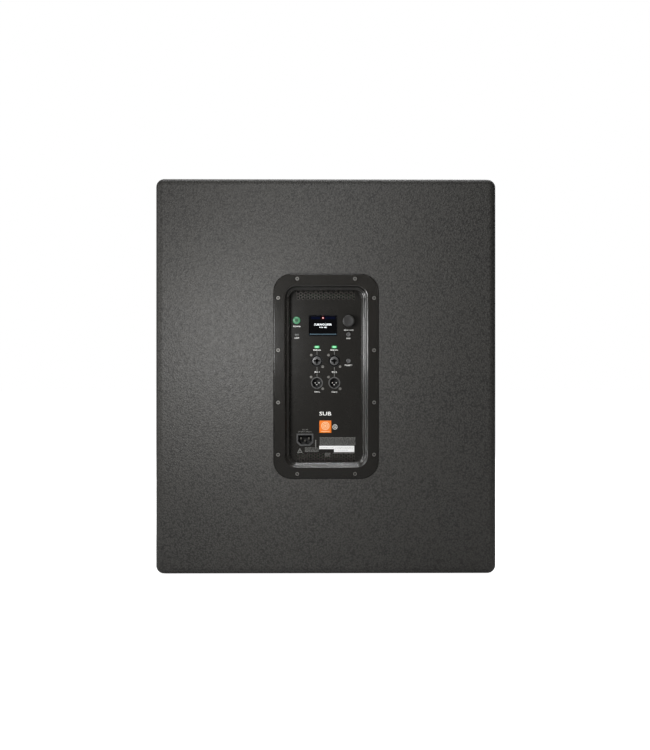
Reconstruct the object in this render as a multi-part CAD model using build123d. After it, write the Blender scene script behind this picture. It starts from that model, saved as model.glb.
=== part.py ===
from build123d import *
import math
import os

# Powered 18 inch subwoofer for stage and venue sound: a vented plywood cabinet with a perforated
# steel grille, a long-throw woofer, and a recessed amplifier module in the middle of its rear panel.
# Units are millimetres. +Z is up, the grille faces -Y and the amplifier faces +Y.
# The origin is the centre of the footprint, on the surface that the rubber feet stand on.

# ---------------------------------------------------------------- driving dimensions
# Cabinet
WIDTH = 594.0
HEIGHT = 690.0
DEPTH = 750.0
WALL = 15.0
FOOT_PROUD = 2.5
LONG_EDGE_RADIUS = 14.0
REAR_EDGE_RADIUS = 12.0
FRONT_EDGE_RADIUS = 5.0

# Front: grille, baffle and slot port
GRILLE_INSET = 1.5
GRILLE_GAP = 1.0
GRILLE_SHEET = 1.6
FOAM_THICKNESS = 5.0
BAFFLE_SETBACK = 40.0
BAFFLE_THICKNESS = 18.0
PORT_HEIGHT = 90.0
PORT_LENGTH = 395.0
RIB_SPACING = 186.0
BATTEN_WIDTH = 15.0
BRACE_Y = 100.0
BRACE_BORDER = 55.0
BRACE_BAR = 44.0
LINING_THICKNESS = 25.0
LINING_MARGIN = 10.0

# Woofer, measured along its axis from the baffle's front face, positive towards the grille
WOOFER_Z = 400.0
FLANGE_RADIUS = 230.0
BAFFLE_HOLE_RADIUS = 211.0
BOLT_CIRCLE_RADIUS = 220.0
BOLT_COUNT = 8
FLANGE_THICKNESS = 7.0
SEAT_HEIGHT = 3.5
SEAT_INNER_RADIUS = 202.0
SEAT_OUTER_RADIUS = 209.5
BASKET_REAR_RADIUS = 104.0
BASKET_THROAT_RADIUS = 43.0
BASKET_WINDOW_OUTER = 192.0
BASKET_WINDOW_INNER = 110.0
SPOKE_WIDTH = 18.0
SPIDER_CUP_RADIUS = 93.0
SPIDER_LEDGE_RADIUS = 82.0
CONE_RADIUS = 178.0
CONE_RIM_WIDTH = 8.0
CONE_THICKNESS = 1.6
CONE_NECK_HEIGHT = -80.0
DUST_CAP_RADIUS = 60.0
FORMER_INNER_RADIUS = 38.1
FORMER_RADIUS = 38.6
WINDING_RADIUS = 39.7
WINDING_LENGTH = 24.0
SPIDER_HEIGHT = -94.0
FRAME_REAR = -118.0
TOP_PLATE_THICKNESS = 10.0
MAGNET_THICKNESS = 24.0
BACK_PLATE_THICKNESS = 12.0
POLE_RADIUS = 37.5
MAGNET_RADIUS = 92.0
MAGNET_INNER_RADIUS = 52.0
POLE_VENT_RADIUS = 12.0

# Amplifier module, measured from the rear panel's face, positive outwards
AMP_FLANGE_WIDTH = 182.8
AMP_FLANGE_HEIGHT = 356.4
AMP_FLANGE_RADIUS = 30.0
AMP_FLANGE_TOP = -0.5
AMP_FLANGE_THICKNESS = 3.5
AMP_GASKET_THICKNESS = 1.5
AMP_BODY_WIDTH = 148.0
AMP_BODY_HEIGHT = 320.0
AMP_BODY_RADIUS = 21.0
MOUTH_WIDTH = 143.2
MOUTH_HEIGHT = 315.6
MOUTH_RADIUS = 20.0
LEDGE_DEPTH = -8.5
RECESS_EDGE_RADIUS = 2.3
PANEL_TOP = -26.5
PANEL_THICKNESS = 2.0
FLOOR_WIDTH = 124.0
FLOOR_HEIGHT = 297.6
FLOOR_RADIUS = 12.0
ENCLOSURE_REAR = -119.5
SHEET_METAL = 1.5

# Controls and sockets on the recessed panel: (across, up) from its centre, as its user sees it
POWER_BUTTON_AT = (-51.7, 98.5)
LIMIT_LED_AT = (-51.2, 73.2)
DISPLAY_AT = (-5.1, 89.4)
DISPLAY_SIZE = (49.6, 36.6)
KNOB_AT = (39.7, 97.2)
BACK_BUTTON_AT = (39.7, 73.8)
POLARITY_BUTTON_AT = (39.7, 27.2)
INPUT_COLUMNS = (-15.8, 14.8)
SIGNAL_LED_UP = 51.6
COMBO_UP = 27.2
THRU_UP = -11.6
INLET_AT = (-36.9, -111.7)
BADGE_AT = (-1.0, -88.7)
VENT_PITCH = 5.14
VENT_CELL_RADIUS = 2.1
VENT_COLUMNS = 12
VENT_TOP_ROWS = (137.6, 6)
VENT_BOTTOM_ROWS = (-147.9, 5)

KNOB_RADIUS = 10.0
KNOB_HEIGHT = 15.0
KNOB_GAP = 1.5
BUTTON_RADIUS = 3.9
POWER_BUTTON_RADIUS = 6.4
BUTTON_CLEARANCE = 0.25
BUTTON_TRAVEL = 0.8
POWER_TRAVEL = 1.5
ENCODER_TRAVEL = 0.6
SOCKET_RADIUS = 10.4
XLR_CAVITY_RADIUS = 8.6
COMBO_SHELL_INNER_RADIUS = 9.6
COMBO_INSERT_RADIUS = 7.75
SOCKET_SCREW_OFFSET = 10.2
SOCKET_DEPTH = 30.0
INLET_BLADE_DEPTH = 5.0

# Handles, pole socket and feet
HANDLE_Y = -30.0
HANDLE_Z = 400.0
HANDLE_FLANGE = (212.0, 142.0, 26.0)
HANDLE_POCKET = (176.0, 106.0, 16.0)
HANDLE_FLANGE_THICKNESS = 3.0
HANDLE_DEPTH = 58.0
GRIP_RADIUS = 12.0
GRIP_UP = 20.0
GRIP_DEPTH = -20.0
POLE_FLANGE_RADIUS = 48.0
POLE_FLANGE_THICKNESS = 4.0
POLE_SLEEVE_RADIUS = 18.0
POLE_THREAD_RADIUS = 8.65
POLE_THREAD_DEPTH = 42.0
POLE_SOCKET_DEPTH = 46.0
POLE_SCREW_RADIUS = 37.0
FOOT_RADIUS = 20.0
FOOT_HEIGHT = 10.0
FOOT_INSET_X = 55.0
FOOT_INSET_Y = 60.0
STACK_DIMPLE_DEPTH = 3.0

# Worked out from the driving dimensions
CABINET_MID_Z = FOOT_PROUD + HEIGHT / 2
CABINET_TOP = FOOT_PROUD + HEIGHT
INNER_WIDTH = WIDTH - 2 * WALL
INNER_HEIGHT = HEIGHT - 2 * WALL
INNER_BOTTOM = FOOT_PROUD + WALL
INNER_TOP = CABINET_TOP - WALL
REAR_Y = DEPTH / 2
FRONT_Y = -DEPTH / 2
BAFFLE_Y = FRONT_Y + BAFFLE_SETBACK
SHELF_BOTTOM = INNER_BOTTOM + PORT_HEIGHT
SHELF_TOP = SHELF_BOTTOM + WALL
GRILLE_Y = FRONT_Y + GRILLE_INSET
FOAM_BACK_Y = GRILLE_Y + GRILLE_SHEET + FOAM_THICKNESS
PANEL_BACK = PANEL_TOP - PANEL_THICKNESS
REBATE_DEPTH = -(AMP_FLANGE_TOP - AMP_FLANGE_THICKNESS - AMP_GASKET_THICKNESS)
FIT = 0.3

# Local frames: X across and Y up as a person facing that side sees it, Z outwards
REAR = Plane(origin=(0, REAR_Y, CABINET_MID_Z), x_dir=(-1, 0, 0), z_dir=(0, 1, 0))
WOOFER = Plane(origin=(0, BAFFLE_Y, WOOFER_Z), x_dir=(1, 0, 0), z_dir=(0, -1, 0))
RIGHT = Plane(origin=(WIDTH / 2, HANDLE_Y, HANDLE_Z), x_dir=(0, 1, 0), z_dir=(1, 0, 0))
LEFT = Plane(origin=(-WIDTH / 2, HANDLE_Y, HANDLE_Z), x_dir=(0, -1, 0), z_dir=(-1, 0, 0))
TOP = Plane(origin=(0, 0, CABINET_TOP), x_dir=(1, 0, 0), z_dir=(0, 0, 1))
BOTTOM = Plane(origin=(0, 0, FOOT_PROUD), x_dir=(1, 0, 0), z_dir=(0, 0, -1))

AMP_SCREW_SPOTS = [(x, y) for x in (-50.4, 50.4) for y in (-170.4, 170.4)]
AMP_SCREW_SPOTS += [(x, y) for x in (-83.8, 83.8) for y in (-136.8, -45.6, 45.6, 136.8)]
HANDLE_SCREW_SPOTS = [(x, y) for x in (-70, 70) for y in (-63, 63)] + [(-98, 0), (98, 0)]
FOOT_SPOTS = [
    (x * (WIDTH / 2 - FOOT_INSET_X), y * (DEPTH / 2 - FOOT_INSET_Y)) for x in (-1, 1) for y in (-1, 1)
]
BOLT_SPOTS = [
    (
        BOLT_CIRCLE_RADIUS * math.cos(math.radians(22.5 + 360 / BOLT_COUNT * turn)),
        BOLT_CIRCLE_RADIUS * math.sin(math.radians(22.5 + 360 / BOLT_COUNT * turn)),
    )
    for turn in range(BOLT_COUNT)
]
SOCKET_SPOTS = [(x, COMBO_UP) for x in INPUT_COLUMNS] + [(x, THRU_UP) for x in INPUT_COLUMNS]
SOCKET_SCREW_SPOTS = [
    (x + side * SOCKET_SCREW_OFFSET, y - side * SOCKET_SCREW_OFFSET)
    for x, y in SOCKET_SPOTS
    for side in (-1, 1)
]


# ---------------------------------------------------------------- small helpers
def disc(radius, bottom, top, inner=0.0):
    """A cylinder, or a ring, round Z between two heights."""
    solid = Pos(0, 0, (bottom + top) / 2) * Cylinder(radius, top - bottom)
    if inner:
        solid -= Pos(0, 0, (bottom + top) / 2) * Cylinder(inner, top - bottom + 1)
    return solid


def plate(width, height, radius, bottom, top):
    """A plate with rounded corners between two heights."""
    return Pos(0, 0, bottom) * extrude(RectangleRounded(width, height, radius), top - bottom)


def slab(low, high):
    """A box from its lowest to its highest corner."""
    size = [b - a for a, b in zip(low, high)]
    middle = [(a + b) / 2 for a, b in zip(low, high)]
    return Pos(*middle) * Box(*size)


def turned(*outline):
    """A solid of revolution round Z from (radius, height) points."""
    return revolve(Plane.XZ * make_face(Polyline(*outline, close=True)), Axis.Z)


def tapered(wide, narrow):
    """A tapered block between two rounded rectangles, each (width, height, radius, level)."""
    faces = []
    for width, height, radius, level in (wide, narrow):
        faces.append(Pos(0, 0, level) * RectangleRounded(width, height, radius))
    return loft(Sketch() + faces)


def at_spots(shape, spots, level=0.0):
    """Copies of a shape, one at each (across, up) spot, as a list of separate solids."""
    return [Pos(x, y, level) * shape for x, y in spots]


def cross_recess(size, depth, top):
    """The crossed slots of a screw head."""
    return slab((-size, -size / 5, top - depth), (size, size / 5, top)) + slab(
        (-size / 5, -size, top - depth), (size / 5, size, top)
    )


def countersunk_screw(head_radius, shank_radius, head_height, length):
    """A flat-headed screw whose head is flush with height 0."""
    body = turned(
        (0, 0), (head_radius, 0), (head_radius, -0.4), (shank_radius, -head_height),
        (shank_radius, -length), (0, -length - shank_radius),
    )  # fmt: skip
    return body - cross_recess(head_radius * 0.55, head_height * 0.6, 0)


def countersink(head_radius, shank_radius, head_height, length):
    """The hole that a flat-headed screw fills."""
    return turned(
        (0, 0), (head_radius, 0), (head_radius, -0.4), (shank_radius, -head_height),
        (shank_radius, -length), (0, -length - shank_radius),
    )  # fmt: skip


def drilled(shape, holes):
    """A shape with holes cut in it, one after another."""
    for hole in holes:
        shape -= hole
    return shape


def group(shapes):
    """Separate solids kept together in one node."""
    return Compound([solid for shape in shapes for solid in shape.solids()])


# ---------------------------------------------------------------- cabinet
def cabinet_block():
    """The cabinet's outer shape, with its rounded edges."""
    block = Pos(0, 0, CABINET_MID_Z) * Box(WIDTH, DEPTH, HEIGHT)
    block = fillet(block.edges().filter_by(Axis.Y), LONG_EDGE_RADIUS)
    block = fillet(block.faces().sort_by(Axis.Y)[-1].edges(), REAR_EDGE_RADIUS)
    return fillet(block.faces().sort_by(Axis.Y)[0].edges(), FRONT_EDGE_RADIUS)


WOOD_SCREW = (4.0, 1.75, 2.6, 11.0)


def side_panel(block, sign, frame):
    """A side panel with the rebated hole of its handle."""
    outer, inner = sorted((sign * WIDTH / 2, sign * (WIDTH / 2 - WALL)))
    panel = block & slab((outer, FRONT_Y, FOOT_PROUD), (inner, REAR_Y, CABINET_TOP))
    width, height, radius = HANDLE_FLANGE
    panel -= frame * plate(width + FIT, height + FIT, radius, -HANDLE_FLANGE_THICKNESS, 1)
    width, height, radius = HANDLE_POCKET
    panel -= frame * plate(width + 8, height + 8, radius + 4, -WALL - 1, 1)
    return drilled(panel, [frame * hole for hole in at_spots(countersink(*WOOD_SCREW), HANDLE_SCREW_SPOTS)])


def top_panel(block):
    """The top, with the pole socket's rebate and the dimples that another cabinet's feet sit in."""
    panel = block & slab((-INNER_WIDTH / 2, FRONT_Y, INNER_TOP), (INNER_WIDTH / 2, REAR_Y, CABINET_TOP))
    panel -= TOP * disc(POLE_FLANGE_RADIUS + FIT, -POLE_FLANGE_THICKNESS, 1)
    panel -= TOP * disc(POLE_SLEEVE_RADIUS + FIT, -WALL - 1, 1)
    holes = at_spots(countersink(*WOOD_SCREW), pole_screw_spots())
    holes += at_spots(disc(FOOT_RADIUS + 2, -STACK_DIMPLE_DEPTH, 1), FOOT_SPOTS)
    return drilled(panel, [TOP * hole for hole in holes])


def bottom_panel(block):
    """The bottom, with pockets for the feet."""
    panel = block & slab((-INNER_WIDTH / 2, FRONT_Y, FOOT_PROUD), (INNER_WIDTH / 2, REAR_Y, INNER_BOTTOM))
    pocket = disc(FOOT_RADIUS + FIT, -(FOOT_HEIGHT - FOOT_PROUD), 1)
    return drilled(panel, [BOTTOM * hole for hole in at_spots(pocket + disc(2.25, -WALL + 1, 0), FOOT_SPOTS)])


def rear_panel():
    """The back, with the stepped opening for the amplifier module."""
    panel = Pos(0, 0, -WALL / 2) * Box(INNER_WIDTH, INNER_HEIGHT, WALL)
    panel -= plate(AMP_FLANGE_WIDTH + 1.6, AMP_FLANGE_HEIGHT + 1.6, AMP_FLANGE_RADIUS + 0.8, -REBATE_DEPTH, 1)
    panel -= plate(AMP_BODY_WIDTH + 2, AMP_BODY_HEIGHT + 2, AMP_BODY_RADIUS + 1, -WALL - 1, 1)
    return REAR * drilled(panel, at_spots(disc(2.0, -14.0, 0), AMP_SCREW_SPOTS))


def front_baffle():
    """The board that carries the woofer. It stands on the port's shelf."""
    board = slab(
        (-INNER_WIDTH / 2, BAFFLE_Y, SHELF_TOP), (INNER_WIDTH / 2, BAFFLE_Y + BAFFLE_THICKNESS, INNER_TOP)
    )
    board -= WOOFER * disc(BAFFLE_HOLE_RADIUS, -BAFFLE_THICKNESS - 1, 1)
    holes = at_spots(disc(4.0, -BAFFLE_THICKNESS - 1, 1), BOLT_SPOTS)
    return drilled(board, [WOOFER * hole for hole in holes])


def port_shelf():
    """The shelf that is the roof of the slot port."""
    return slab(
        (-INNER_WIDTH / 2, BAFFLE_Y, SHELF_BOTTOM), (INNER_WIDTH / 2, BAFFLE_Y + PORT_LENGTH, SHELF_TOP)
    )


def port_ribs():
    """Two upright boards that split the port and carry the grille's lower edge."""
    rib = slab((-WALL / 2, FOAM_BACK_Y, INNER_BOTTOM), (WALL / 2, BAFFLE_Y + PORT_LENGTH, SHELF_BOTTOM))
    return [drilled(Pos(side * RIB_SPACING / 2, 0, 0) * rib, grille_screw_holes()) for side in (-1, 1)]


def window_brace():
    """A frame across the cabinet that ties its four walls together."""
    brace = slab((-INNER_WIDTH / 2, BRACE_Y, INNER_BOTTOM), (INNER_WIDTH / 2, BRACE_Y + WALL, INNER_TOP))
    window_width = (INNER_WIDTH - 2 * BRACE_BORDER - BRACE_BAR) / 2
    window_height = (INNER_HEIGHT - 2 * BRACE_BORDER - BRACE_BAR) / 2
    window = plate(window_width, window_height, 20, -WALL - 2, 2)
    middle = Plane(origin=(0, BRACE_Y + WALL, CABINET_MID_Z), x_dir=(-1, 0, 0), z_dir=(0, 1, 0))
    offset_x = (window_width + BRACE_BAR) / 2
    offset_y = (window_height + BRACE_BAR) / 2
    windows = at_spots(window, [(x, y) for x in (-offset_x, offset_x) for y in (-offset_y, offset_y)])
    return drilled(brace, [middle * opening for opening in windows])


# ---------------------------------------------------------------- grille
GRILLE_WIDTH = INNER_WIDTH - 2 * GRILLE_GAP
GRILLE_HEIGHT = INNER_HEIGHT - 2 * GRILLE_GAP
GRILLE_SCREW = (3.5, 1.5, 2.0, 22.0)
GRILLE_SCREW_SIDE = INNER_WIDTH / 2 - BATTEN_WIDTH / 2
GRILLE_SCREW_HEIGHTS = (180.0, 400.0, 620.0)
GRILLE_SCREW_SPOTS = [(side * GRILLE_SCREW_SIDE, up) for side in (-1, 1) for up in GRILLE_SCREW_HEIGHTS]
GRILLE_SCREW_SPOTS += [(side * RIB_SPACING / 2, INNER_BOTTOM + 12) for side in (-1, 1)]
GRILLE_SCREW_SPOTS += [(side * RIB_SPACING / 2, INNER_TOP - BATTEN_WIDTH / 2) for side in (-1, 1)]
GRILLE_FACE = Plane(origin=(0, GRILLE_Y, 0), x_dir=(1, 0, 0), z_dir=(0, -1, 0))


def grille_screws():
    """The ten screws round the grille's edge."""
    return [GRILLE_FACE * screw for screw in at_spots(countersunk_screw(*GRILLE_SCREW), GRILLE_SCREW_SPOTS)]


def grille_screw_holes():
    """The holes that the grille's screws fill."""
    return [GRILLE_FACE * hole for hole in at_spots(countersink(*GRILLE_SCREW), GRILLE_SCREW_SPOTS)]


def front_grille():
    """The steel sheet with its folded edges. Its perforation is left to the looks."""
    depth = GRILLE_SHEET + FOAM_THICKNESS
    outer = plate(GRILLE_WIDTH, GRILLE_HEIGHT, 4.0, -depth, 0)
    fold = 2 * GRILLE_SHEET
    inner = plate(GRILLE_WIDTH - fold, GRILLE_HEIGHT - fold, 2.4, -depth - 1, -GRILLE_SHEET)
    sheet = fillet(outer.faces().sort_by(Axis.Z)[-1].edges(), 1.2) - inner
    return drilled(GRILLE_FACE * Pos(0, CABINET_MID_Z, 0) * sheet, grille_screw_holes())


def grille_foam():
    """The open-cell foam sheet behind the grille."""
    width = GRILLE_WIDTH - 2 * GRILLE_SHEET - 1
    height = GRILLE_HEIGHT - 2 * GRILLE_SHEET - 1
    foam = plate(width, height, 2.0, -GRILLE_SHEET - FOAM_THICKNESS + 0.2, -GRILLE_SHEET)
    return drilled(GRILLE_FACE * Pos(0, CABINET_MID_Z, 0) * foam, grille_screw_holes())


def grille_battens():
    """Strips inside the front edge that the grille is screwed to."""
    half = INNER_WIDTH / 2
    battens = [slab((half - BATTEN_WIDTH, FOAM_BACK_Y, SHELF_TOP), (half, BAFFLE_Y, INNER_TOP))]
    battens += [slab((-half, FOAM_BACK_Y, SHELF_TOP), (-half + BATTEN_WIDTH, BAFFLE_Y, INNER_TOP))]
    across = (half - BATTEN_WIDTH, BAFFLE_Y, INNER_TOP)
    battens += [slab((-across[0], FOAM_BACK_Y, INNER_TOP - BATTEN_WIDTH), across)]
    return [drilled(batten, grille_screw_holes()) for batten in battens]


# ---------------------------------------------------------------- woofer
def cone_height(radius):
    """Height of the cone's front surface at a radius: steep at the neck and flatter at the rim."""
    share = (radius - FORMER_RADIUS) / (CONE_RADIUS - CONE_RIM_WIDTH - FORMER_RADIUS)
    rise = SEAT_HEIGHT - CONE_THICKNESS - CONE_NECK_HEIGHT
    return CONE_NECK_HEIGHT + rise * (1.25 * share - 0.25 * share**2)


def woofer_frame():
    """The cast basket: flange, eight spokes, the spider's ledge and the seat for the magnet."""
    flange, seat, rim = FLANGE_RADIUS, SEAT_INNER_RADIUS - 1, BAFFLE_HOLE_RADIUS - 1
    ledge, cup = SPIDER_LEDGE_RADIUS, SPIDER_CUP_RADIUS
    frame = turned(
        (seat, SEAT_HEIGHT), (SEAT_OUTER_RADIUS, SEAT_HEIGHT), (SEAT_OUTER_RADIUS, FLANGE_THICKNESS),
        (flange - 1.5, FLANGE_THICKNESS), (flange, FLANGE_THICKNESS - 1.5), (flange, 0), (rim, 0),
        (rim, -20), (BASKET_REAR_RADIUS, FRAME_REAR + 4), (BASKET_REAR_RADIUS, FRAME_REAR),
        (BASKET_THROAT_RADIUS, FRAME_REAR), (BASKET_THROAT_RADIUS, FRAME_REAR + 6),
        (cup - 5, FRAME_REAR + 6), (cup - 5, SPIDER_HEIGHT - 3), (ledge, SPIDER_HEIGHT - 3),
        (ledge, SPIDER_HEIGHT), (cup, SPIDER_HEIGHT), (cup, FRAME_REAR + 8), (cup + 5, FRAME_REAR + 8),
        (rim - 7, -18), (rim - 7, 0), (seat, 0),
    )  # fmt: skip
    windows = Circle(BASKET_WINDOW_OUTER) - Circle(BASKET_WINDOW_INNER)
    for turn in range(BOLT_COUNT // 2):
        windows -= Rot(0, 0, turn * 360 / BOLT_COUNT) * Rectangle(2 * BAFFLE_HOLE_RADIUS, SPOKE_WIDTH)
    frame -= Pos(0, 0, FRAME_REAR - 0.5) * extrude(windows, -FRAME_REAR - 22)
    return drilled(frame, at_spots(disc(3.2, -1, FLANGE_THICKNESS + 1), BOLT_SPOTS))


def woofer_cone():
    """The paper cone, with a flat rim that the surround is glued to."""
    front = [(r, cone_height(r)) for r in (FORMER_RADIUS, 70, 105, 140, CONE_RADIUS - CONE_RIM_WIDTH)]
    rim = CONE_RADIUS - CONE_RIM_WIDTH
    upper = Spline(*front)
    lower = Spline(*[(r, h - CONE_THICKNESS) for r, h in front])
    rim_top = SEAT_HEIGHT - CONE_THICKNESS
    outline = [
        upper,
        lower,
        Line(front[0], (FORMER_RADIUS, front[0][1] - CONE_THICKNESS)),
        Polyline(
            (rim, rim_top), (rim, SEAT_HEIGHT), (CONE_RADIUS, SEAT_HEIGHT),
            (CONE_RADIUS, rim_top - CONE_THICKNESS),
            (rim, rim_top - CONE_THICKNESS),
        ),  # fmt: skip
    ]
    return revolve(Plane.XZ * make_face(Curve() + outline), Axis.Z)


def dome_arc(radius, base, apex):
    """The arc of a dome's section, from its rim to the axis."""
    rise = apex - base
    ball = (radius**2 + rise**2) / (2 * rise)
    half = math.asin(radius / ball) / 2
    middle = (ball * math.sin(half), apex - ball + ball * math.cos(half))
    return ThreePointArc((radius, base), middle, (0, apex))


def dust_cap(cone):
    """The domed cap over the voice coil. It is seated on the cone."""
    base = cone_height(DUST_CAP_RADIUS) - 0.5
    outer = dome_arc(DUST_CAP_RADIUS, base, base + 24)
    inner = dome_arc(DUST_CAP_RADIUS - 1.5, base, base + 22.6)
    sides = [
        Line((0, base + 22.6), (0, base + 24)),
        Line((DUST_CAP_RADIUS - 1.5, base), (DUST_CAP_RADIUS, base)),
    ]
    cap = revolve(Plane.XZ * make_face(Curve() + [outer, inner] + sides), Axis.Z)
    return (cap - cone).solids().sort_by(SortBy.VOLUME)[-1]


def rolls(start, count, radius, level, thickness, alternate):
    """Half-round corrugations side by side, as a section in radius and height."""
    section = Sketch()
    for index in range(count):
        centre = start + radius * (2 * index + 1)
        flip = -1 if alternate and index % 2 else 1
        ring = Circle(radius + thickness / 2) - Circle(radius - thickness / 2)
        half = Pos(0, flip * radius) * Rectangle(4 * radius, 2 * radius)
        section += Pos(centre, level) * (ring & half)
    return section


def woofer_surround():
    """The two-roll cloth surround between the cone's rim and the frame."""
    thickness = 1.0
    level = SEAT_HEIGHT + thickness / 2
    section = rolls(CONE_RADIUS, 2, (SEAT_INNER_RADIUS - CONE_RADIUS) / 4, level, thickness, False)
    inner = (CONE_RADIUS - CONE_RIM_WIDTH, CONE_RADIUS + thickness / 2)
    outer = (SEAT_INNER_RADIUS - thickness / 2, SEAT_OUTER_RADIUS)
    for low, high in (inner, outer):
        section += Pos((low + high) / 2, level) * Rectangle(high - low, thickness)
    return revolve(Plane.XZ * section, Axis.Z)


def woofer_spider():
    """The corrugated centring disc between the voice coil's former and the frame."""
    thickness = 0.8
    level = SPIDER_HEIGHT + thickness / 2
    start, radius, count = 46.0, 3.4, 5
    section = rolls(start, count, radius, level, thickness, True)
    end = start + 2 * radius * count
    for low, high in ((FORMER_RADIUS, start + thickness / 2), (end - thickness / 2, 92.0)):
        section += Pos((low + high) / 2, level) * Rectangle(high - low, thickness)
    return revolve(Plane.XZ * section, Axis.Z)


def voice_coil():
    """The former with its copper winding, centred in the magnet's gap."""
    middle = FRAME_REAR - TOP_PLATE_THICKNESS / 2
    bottom = middle - WINDING_LENGTH / 2
    former = disc(FORMER_RADIUS, bottom - 2, CONE_NECK_HEIGHT, FORMER_INNER_RADIUS)
    return former + disc(WINDING_RADIUS, bottom, bottom + WINDING_LENGTH, FORMER_RADIUS - 0.2)


def woofer_motor():
    """The magnet system: top plate, ring magnet, and back plate with its vented pole."""
    plate_bottom = FRAME_REAR - TOP_PLATE_THICKNESS
    magnet_bottom = plate_bottom - MAGNET_THICKNESS
    back = magnet_bottom - BACK_PLATE_THICKNESS
    top_plate = disc(MAGNET_RADIUS - 3, plate_bottom, FRAME_REAR, WINDING_RADIUS + 0.8)
    magnet = disc(MAGNET_RADIUS, magnet_bottom, plate_bottom, MAGNET_INNER_RADIUS)
    pole = turned(
        (POLE_VENT_RADIUS, back), (MAGNET_RADIUS - 6, back), (MAGNET_RADIUS - 3, back + 3),
        (MAGNET_RADIUS - 3, magnet_bottom), (POLE_RADIUS, magnet_bottom),
        (POLE_RADIUS, FRAME_REAR + 1), (POLE_VENT_RADIUS, FRAME_REAR + 1),
    )  # fmt: skip
    return top_plate, magnet, pole


def woofer_terminals(frame):
    """The terminal block on one of the frame's spokes, with two push-on tabs."""
    block = slab((138, -17, -92), (164, 17, -64)) - frame
    block = block.solids().sort_by(SortBy.VOLUME)[-1]
    for side in (-1, 1):
        block += slab((150, side * 9 - 3.15, -104), (150.8, side * 9 + 3.15, -90))
    return block


def woofer_bolt():
    """A hexagon-socket bolt through the flange and baffle."""
    bolt = disc(5.0, FLANGE_THICKNESS, FLANGE_THICKNESS + 5) + disc(3.0, -24, FLANGE_THICKNESS)
    socket = extrude(RegularPolygon(2.9, 6), 3)
    return bolt - Pos(0, 0, FLANGE_THICKNESS + 2) * socket


def tee_nut():
    """A tee nut pressed into the back of the baffle."""
    return disc(9.0, -BAFFLE_THICKNESS - 1.5, -BAFFLE_THICKNESS, 3.0) + disc(4.0, -BAFFLE_THICKNESS, -7, 3.0)


# ---------------------------------------------------------------- handles, pole socket and feet
def handle_cup(frame):
    """A moulded recess with a flush flange."""
    cup = plate(*HANDLE_FLANGE, -HANDLE_FLANGE_THICKNESS, 0)
    width, height, radius = HANDLE_POCKET
    cup += plate(width + 6, height + 6, radius + 3, -HANDLE_DEPTH - 3, -HANDLE_FLANGE_THICKNESS)
    cup -= plate(width, height, radius, -HANDLE_DEPTH, 1)
    inside = [e for e in cup.edges() if abs(e.center().Z + HANDLE_DEPTH) < 0.01]
    cup = fillet(inside, 8)
    return frame * drilled(cup, at_spots(countersink(*WOOD_SCREW), HANDLE_SCREW_SPOTS))


def handle_grip(frame):
    """The round bar across the recess, with a collar at each end."""
    length = HANDLE_POCKET[0]
    bar = Rot(0, 90, 0) * Cylinder(GRIP_RADIUS, length)
    for side in (-1, 1):
        bar += Pos(side * (length / 2 - 3), 0, 0) * Rot(0, 90, 0) * Cylinder(GRIP_RADIUS + 2.5, 6)
    return frame * Pos(0, GRIP_UP, GRIP_DEPTH) * bar


def pole_screw_spots():
    """Four screws on a circle round the pole socket."""
    reach = POLE_SCREW_RADIUS * math.sqrt(0.5)
    return [(x, y) for x in (-reach, reach) for y in (-reach, reach)]


def pole_socket():
    """The flanged steel socket for a threaded pole, with a plain bore at the thread's minor radius."""
    socket = disc(POLE_FLANGE_RADIUS, -POLE_FLANGE_THICKNESS, 0)
    socket += disc(POLE_SLEEVE_RADIUS, -POLE_SOCKET_DEPTH, -POLE_FLANGE_THICKNESS)
    socket -= disc(POLE_THREAD_RADIUS, -POLE_THREAD_DEPTH, 1)
    return TOP * drilled(socket, at_spots(countersink(*WOOD_SCREW), pole_screw_spots()))


def hardware_screws():
    """The identical countersunk wood screws of both handles and of the pole socket."""
    screw = countersunk_screw(*WOOD_SCREW)
    screws = [frame * s for frame in (LEFT, RIGHT) for s in at_spots(screw, HANDLE_SCREW_SPOTS)]
    return screws + [TOP * s for s in at_spots(screw, pole_screw_spots())]


def rubber_foot():
    """A round foot with a countersunk face, measured up from its sole."""
    return turned(
        (2.25, 6), (6, 6), (6, 0), (FOOT_RADIUS - 1.5, 0), (FOOT_RADIUS, 1.5),
        (FOOT_RADIUS, FOOT_HEIGHT), (2.25, FOOT_HEIGHT),
    )  # fmt: skip


def foot_screw():
    """The screw that holds a foot, with its head sunk above the sole."""
    screw = disc(5.5, 3, 6) + disc(2.25, 6, FOOT_HEIGHT + 6)
    return screw - cross_recess(2.6, 1.6, 4.6)


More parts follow.
